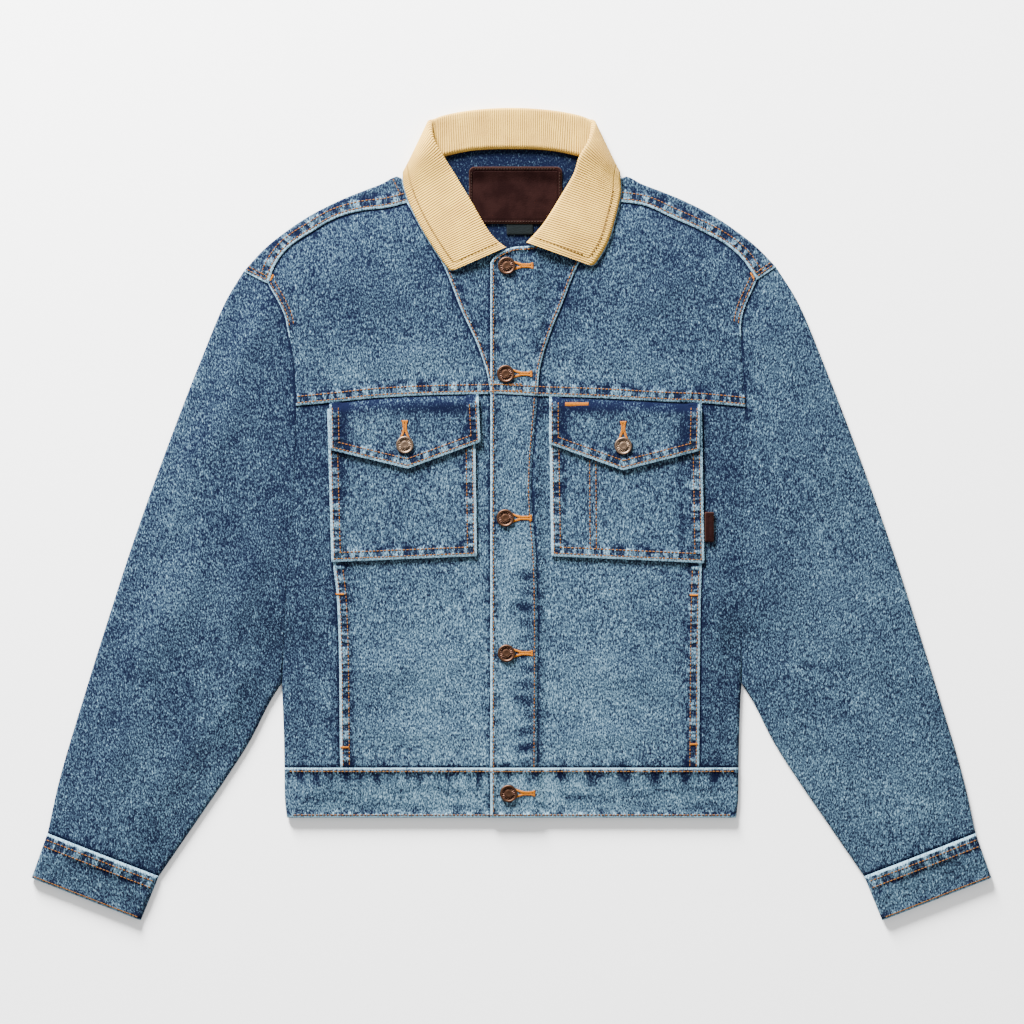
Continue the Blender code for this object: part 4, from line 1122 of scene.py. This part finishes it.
def label(name, node, slot, finish, x_span, drop_span, radius, height, wall, spacing=1.5):
    """A small patch with rounded corners, lying at the given height."""
    half = np.array((x_span[1] - x_span[0], drop_span[1] - drop_span[0])) / 2
    middle = np.array((sum(x_span) / 2, HALF_LENGTH - sum(drop_span) / 2))
    counts = [max(5, int(2 * size / spacing)) for size in half]
    xs, ys = (np.linspace(-h, h, count) for h, count in zip(half, counts))
    local = np.stack(np.meshgrid(xs, ys), axis=-1)
    edge_off = (half - np.abs(local)).min(axis=-1)
    past = np.maximum(np.abs(local) - (half - radius), 0)
    reach = np.maximum(np.linalg.norm(past, axis=-1), 1e-6)
    shrink = np.where((past > 0).all(axis=-1), past.max(axis=-1) / reach, 1.0)
    rounded = np.sign(local) * (np.abs(local) - past + past * shrink[..., None])
    flat_places = rounded + middle
    z = height(flat_places.reshape(-1, 2)).reshape(flat_places.shape[:2])
    mesh = grid_mesh(name, np.dstack([flat_places, z]))
    set_values(mesh, {"edge_off": edge_off * MM})
    keep_piece(name, mesh, [finish], [node], wall,
               flat_area(flat_places))


NECK_LABEL = ((-42.5, 50.5), (59, 116), 5.5)  # x span, drop span, corner radius
brown_leather = leather()
label("neck_patch_leather", "neck_label", "leather", brown_leather, *NECK_LABEL,
      lambda flat: back_height(flat) + WALL + 1.5, 1.2)
label("size_tab_ribbon", "size_tab", "tab", ribbon(), (-4.9, 21.5), (114.5, 127), 0.6,
      lambda flat: back_height(flat) + WALL + 1.0, 1.0)
label("side_tab_leather", "side_tab", "leather", brown_leather, (192.9, 202), (404, 434), 0.8,
      lambda flat: front_height(flat) + 2.6, 1.6)
print("labels made")

# %% [markdown]
# ## Buttons
# A tack button is a pressed metal cap: a domed rim, a sunk ring and a small boss in the middle.
# A full spin of its profile makes it, and a sine of the angle draws fine rays in the ring.

# %% Buttons
BUTTON_RADIUS, RAYS = 8.8, 18
BUTTON_PROFILE = [(0, 0), (0.62, 0), (0.70, 0.5), (0.97, 0.8), (1.0, 1.3), (0.985, 2.0),
                  (0.94, 2.5), (0.87, 2.65), (0.81, 2.5), (0.77, 2.15), (0.72, 2.05),
                  (0.44, 2.1), (0.39, 2.32), (0.32, 2.45), (0.24, 2.35), (0.17, 2.2), (0, 2.2)]
FRONT_BUTTONS = [(-4.8, 158), (-5.8, 266), (-6.2, 410), (-5.1, 545), (-2.9, 685)]
FLAP_BUTTONS = {RIGHT: (-106.5, 337), LEFT: (111.5, 338)}
SPIN_STEPS = 48
LAYERS = ("_cloth", "_pocket_cloth", "_flap_cloth", "collar")  # from low to high
ON_CLOTH, ON_POCKET, ON_FLAP, ON_COLLAR = range(4)


def layer_of(name):
    return max(k for k, word in enumerate(LAYERS) if word in name)


def top_at(x, y, layer=ON_COLLAR):
    """Height and normal of the highest cloth of a layer or below, or None under a higher one."""
    best, normal = None, None
    for name, tree in cloth_trees.items():
        spot_hit, way = tree.ray_cast(Vector((x, y, 60)) * MM, Vector((0, 0, -1)))[:2]
        if spot_hit is None:
            continue
        if layer_of(name) > layer:
            return None, None
        if best is None or spot_hit.z / MM > best:
            best, normal = spot_hit.z / MM, way
    return best, normal


def metal(name, bright, dark):
    """Aged metal: bright where it is rubbed, dark in the sunk ring and between the rays."""
    made, shader = new_material(name, 0.46)
    place = attribute(made, "local", "Vector")
    split = made.node_tree.nodes.new("ShaderNodeSeparateXYZ")
    link(place, split.inputs[0])
    x, y = (Value(made, split.outputs[k]) for k in (0, 1))
    radius = (x * x + y * y).maths("SQRT")
    ring = ramp(radius, 0.44, 0.50) * ramp(radius, 0.74, 0.68)
    rays = (y.maths("ARCTAN2", x) * RAYS).maths("SINE") * ring
    age = noise(place, 3.0, 3.0, 0.6)
    share = (ring * 0.55).maths("ADD", age * 0.5, clamp=True)
    paint(shader, mix(made, share, bright, dark), rays + age * 0.6, 0.0005, 0.8, specular=None)
    shader.inputs["Metallic"].default_value = 1.0
    return made


def button(name, node, finish, slot, x, drop, radius=BUTTON_RADIUS):
    bm = bmesh.new()
    verts = [bm.verts.new((share * radius, 0, z)) for share, z in BUTTON_PROFILE]
    edges = [bm.edges.new(pair) for pair in zip(verts, verts[1:])]
    bmesh.ops.spin(bm, geom=verts + edges, cent=(0, 0, 0), axis=(0, 0, 1), angle=math.tau,
                   steps=SPIN_STEPS, use_merge=True)
    bmesh.ops.remove_doubles(bm, verts=bm.verts, dist=0.001)
    bmesh.ops.recalc_face_normals(bm, faces=bm.faces)
    mesh = mesh_of(bm, name)
    local = np.array([v.co[:] for v in mesh.vertices]) / radius
    mesh.attributes.new("local", "FLOAT_VECTOR", "POINT").data.foreach_set("vector",
                                                                           local.ravel())
    z, normal = top_at(x, HALF_LENGTH - drop)
    tilt = Vector((0, 0, 1)).rotation_difference(normal).to_matrix().to_4x4()
    place = Matrix.Translation(Vector((x, HALF_LENGTH - drop, z - 0.2)) * MM)
    mesh.transform(place @ tilt @ Matrix.Scale(MM, 4))
    add_piece(name, mesh, [finish], [node])


copper = metal("aged_copper", (0.088, 0.044, 0.026, 1), (0.012, 0.006, 0.005, 1))
brass = metal("aged_brass", (0.17, 0.115, 0.08, 1), (0.035, 0.023, 0.014, 1))
for number, (x, drop) in enumerate(FRONT_BUTTONS, 1):
    button(f"front_button_{number}", f"button_{number}", copper, "copper", x, drop)
for side in SIDES:
    button(f"{WORDS[side]}_flap_cap", f"{WORDS[side]}_flap_button", brass, "brass",
           *FLAP_BUTTONS[side])
print("buttons:", len(FRONT_BUTTONS) + len(FLAP_BUTTONS))

# %% [markdown]
# ## Sewing
# Orange topstitching outlines every seam. Each stitch is a short bead of thread. One bead is
# made with an operator, and an array of places, headings and slopes repeats it into one mesh, so
# thousands of stitches stay light. Each stitch is dropped on to the cloth below it, and left out
# where a pocket, a flap or the collar covers the row.

# %% Thread and the stitch tool
STITCH, PITCH, THREAD = 2.9, 3.7, 1.0
SATIN_PITCH = 0.75
RIM_GAPS = (3.0, 9.2)  # from the edge of a pocket or a flap to its two rows


def thread(name, bright, dark):
    made, shader = new_material(name, 0.6)
    ply = noise(object_place(made), 1300, 1.0, 0.5)
    paint(shader, mix(made, ramp(ply, 0.3, 0.7), dark, bright), ply, 0.0003, specular=0.1)
    return made


def bead():
    """Vertices and faces of one stitch of unit size, lying along X."""
    bm = bmesh.new()
    bmesh.ops.create_uvsphere(bm, u_segments=6, v_segments=5, radius=0.5)
    bmesh.ops.rotate(bm, verts=bm.verts, matrix=Matrix.Rotation(math.radians(90), 3, "Y"))
    corners = np.array([v.co[:] for v in bm.verts])
    corners[:, 0] = np.sign(corners[:, 0]) * np.abs(corners[:, 0] * 2) ** 0.6 / 2
    faces = [[v.index for v in face.verts] for face in bm.faces]
    bm.free()
    return corners, faces


def sew(name, finish, rows):
    """rows hold x, y, z, heading, slope, length and width of each stitch."""
    corners, faces = bead()
    rows = np.array(rows)
    x, y, z, heading, slope, length, width = rows.T[:, :, None]
    run = corners[:, 0] * length
    aside, above = corners[:, 1] * width, corners[:, 2] * 0.8 * width
    up = above * np.cos(slope) + run * np.sin(slope)
    run = run * np.cos(slope) - above * np.sin(slope)
    places = np.stack([x + run * np.cos(heading) - aside * np.sin(heading),
                       y + run * np.sin(heading) + aside * np.cos(heading), z + up], axis=-1)
    count = len(corners)
    mesh = bpy.data.meshes.new(name)
    mesh.from_pydata((places.reshape(-1, 3) * MM).tolist(), [],
                     [[count * k + i for i in face] for k in range(len(rows)) for face in faces])
    add_piece(name, mesh, [finish])
    print(name, len(rows), "stitches")


def toward(line, gap, goal):
    """A line moved sideways by a gap, to the side on which the goal lies."""
    ways = np.gradient(line.points, axis=0)
    normals = np.column_stack([-ways[:, 1], ways[:, 0]])
    normals /= np.maximum(np.linalg.norm(normals, axis=1), 1e-9)[:, None]
    sign = 1 if ((goal - line.points) * normals).sum(axis=1).mean() > 0 else -1
    return Line(line.points + normals * sign * gap)


def along(line, layer=ON_CLOTH, height=None, trim=(0, 0), pitch=PITCH, length=STITCH,
          width=THREAD):
    """Stitches end to end along a line, dropped on the cloth."""
    found = []
    where = np.arange(trim[0] + pitch / 2, line.length - trim[1] - pitch / 2, pitch)
    if not len(where):
        return found
    middles = line.at(where / line.length)
    ends = [line.at(np.clip((where + way * length / 2) / line.length, 0, 1)) for way in (-1, 1)]
    for (x, y), first, last in zip(middles, *ends):
        if height is not None:
            z, rise = float(height(np.array([[x, y]]))[0]), 0.0
        else:
            z, normal = top_at(x, y, layer)
            if z is None or normal.z < 0.5:
                continue
            way = (last - first) / max(np.linalg.norm(last - first), 1e-9)
            rise = -(normal.x * way[0] + normal.y * way[1]) / normal.z
        heading = math.atan2(*(last - first)[::-1])
        found.append((x, y, z + (0.35 if layer == ON_COLLAR else 0.12), heading,
                      math.atan(rise), length, width))
    return found


def satin(x, drop, heading, length, width):
    """A bar of close threads lying across its heading."""
    turn = math.radians(heading)
    found = []
    for step in np.arange(-length / 2, length / 2 + 0.01, SATIN_PITCH):
        px, py = x + step * math.cos(turn), HALF_LENGTH - drop + step * math.sin(turn)
        z = top_at(px, py)[0]
        if z is not None:
            found.append((px, py, z + 0.25, turn + math.pi / 2, 0.0, width, 0.95))
    return found


def rim_rows(corners, gaps, layer):
    """Rows inside a shape with straight edges, each cut to the corners of the inset shape."""
    centre = np.mean(corners, axis=0)
    found = []
    pairs = list(zip(corners, corners[1:]))
    ways = [(b - a) / np.linalg.norm(b - a) for a, b in pairs]
    bends = [math.tan(math.acos(max(-1.0, min(1.0, float(p @ q)))) / 2)
             for p, q in zip(ways, ways[1:])]
    for gap in gaps:
        for k, (a, b) in enumerate(pairs):
            trim = (gap * bends[k - 1] if k else 0, gap * bends[k] if k < len(bends) else 0)
            found += along(toward(straight(a, b), gap, centre), layer,
                           trim=(max(trim[0] - 1.5, 0), max(trim[1] - 1.5, 0)))
    return found


orange = thread("orange_thread", (0.17, 0.064, 0.008, 1), (0.07, 0.028, 0.005, 1))
bright_orange = thread("buttonhole_thread", (0.33, 0.105, 0.004, 1), (0.19, 0.058, 0.003, 1))
tan = thread("tan_thread", (0.16, 0.085, 0.025, 1), (0.085, 0.045, 0.012, 1))
dark_brown = thread("brown_thread", (0.022, 0.010, 0.006, 1), (0.010, 0.005, 0.003, 1))
print("materials:", len(bpy.data.materials))

# %% Rows on the body, the sleeves and the pockets
body_rows, sleeve_rows, pocket_rows = [], [], []
for side in SIDES:
    chest, above = spot(side, 140, 250), spot(side, 120, 200)
    lower_goal = spot(side, 100, 560)
    body_rows += along(toward(v_seam[side], 2.6, spot(side, 0, 180)))
    for gap in (2.6, 7.0):
        body_rows += along(toward(cut(armhole[side], 0, 0.12), gap, chest))
    for gap in (3.2, 9.6):
        body_rows += along(toward(shoulder[side], gap, spot(side, 150, 40)), trim=(0, 3))
        body_rows += along(toward(yoke_seam[side], gap - 0.4, above), trim=(3, 0))
        body_rows += along(toward(cut(welt[side], 0.46, 1), gap - 0.4, lower_goal))
    tip, foot = spot(side, *YOKE_TIP[side]), spot(side, *SHOULDER_SEAM[side][-1])
    for gap in (2.6, 6.0):
        body_rows += along(toward(straight(tip, foot), gap, spot(side, 180, 120)), trim=(2, 2))
    band = ruled(side, (-LAP[side], WAIST), (226, WAIST))
    hem = ruled(side, (-LAP[side], HEM), (224, HEM))
    body_rows += along(toward(band, 3.6, spot(side, 100, 700)), trim=(3, 3))
    body_rows += along(toward(hem, 2.8, spot(side, 100, 660)), trim=(3, 3))
    for gap in (6.5, 13.5):
        sleeve_rows += along(toward(cuff_seam[side], gap, cuff_end[side].points.mean(axis=0)),
                             trim=(1.5, 1.5))
    sleeve_rows += along(toward(cuff_end[side], 2.0, cuff_seam[side].points.mean(axis=0)),
                         trim=(1.5, 1.5), pitch=3.1)
    pocket = [spot(side, *row) for row in POCKET[side]]
    pocket_rows += rim_rows(pocket, RIM_GAPS, ON_POCKET)
    flap = [spot(side, *row) for row in FLAP[side]]
    pocket_rows += rim_rows(flap, RIM_GAPS, ON_FLAP)
body_rows += along(toward(front_edge, 3.0, spot(LEFT, 0, 400)), trim=(2, 2))
body_rows += along(toward(neck[LEFT], 3.0, spot(LEFT, 20, 200)), trim=(2, 0))
body_rows += along(toward(placket, 3.0, spot(LEFT, 0, 400)), trim=(2, 0))
body_rows += along(ruled(RIGHT, (118.5, 71), (109, 91)))
for x in (78.0, 84.2):
    pocket_rows += along(ruled(LEFT, (x, 352), (x + 0.6, 443)), ON_POCKET)
TACKS = [  # x, drop, heading, length, width
    (-171, 486, 0, 8, 2.2), (-166.5, 639, 0, 8, 2.2), (182.5, 487, 0, 8, 2.2),
    (182.3, 636, 0, 8, 2.2), (65.2, 296.5, 0, 22.5, 4.2), (-239.5, 170, 60, 6, 2),
    (240.5, 168, -60, 6, 2),
]
tack_rows = [row for tack in TACKS for row in satin(*tack)]
sew("body_stitches", orange, body_rows)
sew("sleeve_stitches", orange, sleeve_rows)
sew("pocket_stitches", orange, pocket_rows)

# %% [markdown]
# ## Buttonholes and the last rows
# Past a button one sees only the eye of its keyhole buttonhole and the two close edges. They are
# laid thread by thread, which costs more than one solid bar but keeps the shadows between the
# threads. The collar and the neck label have rows of their own, in other colours.

# %% Buttonholes, bar tacks, collar and label rows
def keyhole(x, drop, heading, length):
    """A keyhole from the rim of a button: a fan at its eye, then two close edges."""
    turn = math.radians(heading)
    ahead, aside = (math.cos(turn), math.sin(turn)), (-math.sin(turn), math.cos(turn))
    found = []

    def lay(run, off, lean, size):
        px = x + run * ahead[0] + off * aside[0]
        py = HALF_LENGTH - drop + run * ahead[1] + off * aside[1]
        z = top_at(px, py)[0]
        found.append((px, py, z + 0.3, turn + lean, 0.0, size, 0.95))
    for step in np.linspace(0, 1, 13):
        for way in (-1, 1):
            run, off = BUTTON_RADIUS - 1.5 + 7.5 * step, way * (4.0 - 2.9 * step ** 0.7)
            lay(run, off, way * (math.pi / 2 + 0.55 - 0.4 * step), 3.0)
    for run in np.arange(BUTTON_RADIUS + 5.5, length, 0.7):
        spread = 1.05 + 0.8 * max(0.0, (run - length + 4) / 4)
        for way in (-1, 1):
            lay(run, way * spread, math.pi / 2, 2.3)
    for off in np.arange(-2.6, 2.61, 0.65):
        lay(length - 0.5, off, 0.0, 2.4)
    return found


for x, drop in FRONT_BUTTONS:
    tack_rows += keyhole(x, drop, 0, 26.0)
for side in SIDES:
    tack_rows += keyhole(*FLAP_BUTTONS[side], 90, 24.0)
sew("buttonholes_and_tacks", bright_orange, tack_rows)

collar_rows_sewn = []
COLLAR_ROW = 7.8  # from the edge to its stitch row
leaf_end = int(4.4 * STATIONS)
for end, way in ((0, 1), (len(leaf_places) - 1, -1)):
    leaf = leaf_places[end:end + way * leaf_end:way]
    centre = leaf[len(leaf) // 2, STAND_STEPS + ROLL_STEPS + 8][:2]
    outer_edge = Line(leaf[:, -1, :2])
    front_line = Line(leaf[0, STAND_STEPS + ROLL_STEPS // 2:, :2])
    collar_rows_sewn += along(toward(outer_edge, COLLAR_ROW, centre), ON_COLLAR,
                                trim=(COLLAR_ROW, 0), width=0.8)
    collar_rows_sewn += along(toward(front_line, COLLAR_ROW, centre), ON_COLLAR,
                                trim=(2, COLLAR_ROW), width=0.8)
sew("collar_stitches", tan, collar_rows_sewn)
label_low, label_high = (spot(LEFT, x, drop) for x, drop in zip(*NECK_LABEL[:2]))
label_corners = [label_low, np.array((label_high[0], label_low[1])), label_high,
                 np.array((label_low[0], label_high[1]))]
label_rows = []


def label_height(flat):
    return back_height(flat) + WALL + 1.55


for a, b in zip(label_corners, label_corners[1:] + label_corners[:1]):
    row = toward(straight(a, b), 2.3, spot(LEFT, 4, 88))
    label_rows += along(row, height=label_height, trim=(5, 5), pitch=2.9, length=2.1, width=0.7)
back_neck = curve(LEFT, [(-x, drop + 3.0) for x, drop in BACK_NECK[:4]][::-1]
                  + [(x, drop + 3.0) for x, drop in BACK_NECK[1:4]])
label_rows += along(back_neck, height=lambda flat: back_height(flat) + WALL + 0.1, width=0.8)
sew("label_stitches", dark_brown, label_rows)

# %% [markdown]
# ## Table, lights and camera
# The jacket is seen from straight above. A camera far away with a long lens keeps the scale the
# same over the whole garment, as in a catalogue picture. One large soft light from the upper left
# draws the folds, and a pale world fills the shadows.

# %% Stage
FLOOR_HALF = 6
floor_bm = bmesh.new()
bmesh.ops.create_grid(floor_bm, x_segments=1, y_segments=1, size=FLOOR_HALF)
floor = new_object("floor", mesh_of(floor_bm, "floor"))
paper, paper_shader = new_material("paper", 0.9)
paper_shader.inputs["Base Color"].default_value = (0.93, 0.93, 0.93, 1)
paper_shader.inputs["Specular IOR Level"].default_value = 0.0
floor.data.materials.append(paper)
floor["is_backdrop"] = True

VIEW_WIDTH, CAMERA_HEIGHT, SENSOR = 1.024, 6.0, 36.0
PICTURE_MIDDLE = (0.0005, 0.002)  # the jacket isn't quite in the middle of the picture
camera = new_object("camera", bpy.data.cameras.new("camera"))
camera.location = (*PICTURE_MIDDLE, CAMERA_HEIGHT)
camera.data.sensor_width = SENSOR
camera.data.lens = SENSOR * CAMERA_HEIGHT / VIEW_WIDTH
camera.data.clip_end = 50
bpy.context.scene.camera = camera


def area_light(name, place, size, power):
    """A round lamp in metres and watts, which points at the origin."""
    lamp = bpy.data.lights.new(name, "AREA")
    lamp.shape = "DISK"
    lamp.size = size
    lamp.energy = power
    holder = new_object(name, lamp)
    holder.location = place
    holder.rotation_euler = (-Vector(place)).to_track_quat("-Z", "Y").to_euler()


area_light("key", (-1.3, 3.2, 1.22), 1.4, 1620)
area_light("fill", (2.5, -1.5, 3.5), 2.5, 40)
world = bpy.data.worlds.new("studio")
world.use_nodes = True
world.node_tree.nodes["Background"].inputs["Color"].default_value = (1, 1, 1, 1)
world.node_tree.nodes["Background"].inputs["Strength"].default_value = 0.80
bpy.context.scene.world = world

# %% Finish
low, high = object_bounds()
print("visual box", [round(v / MM, 1) for v in (*low, *high)])
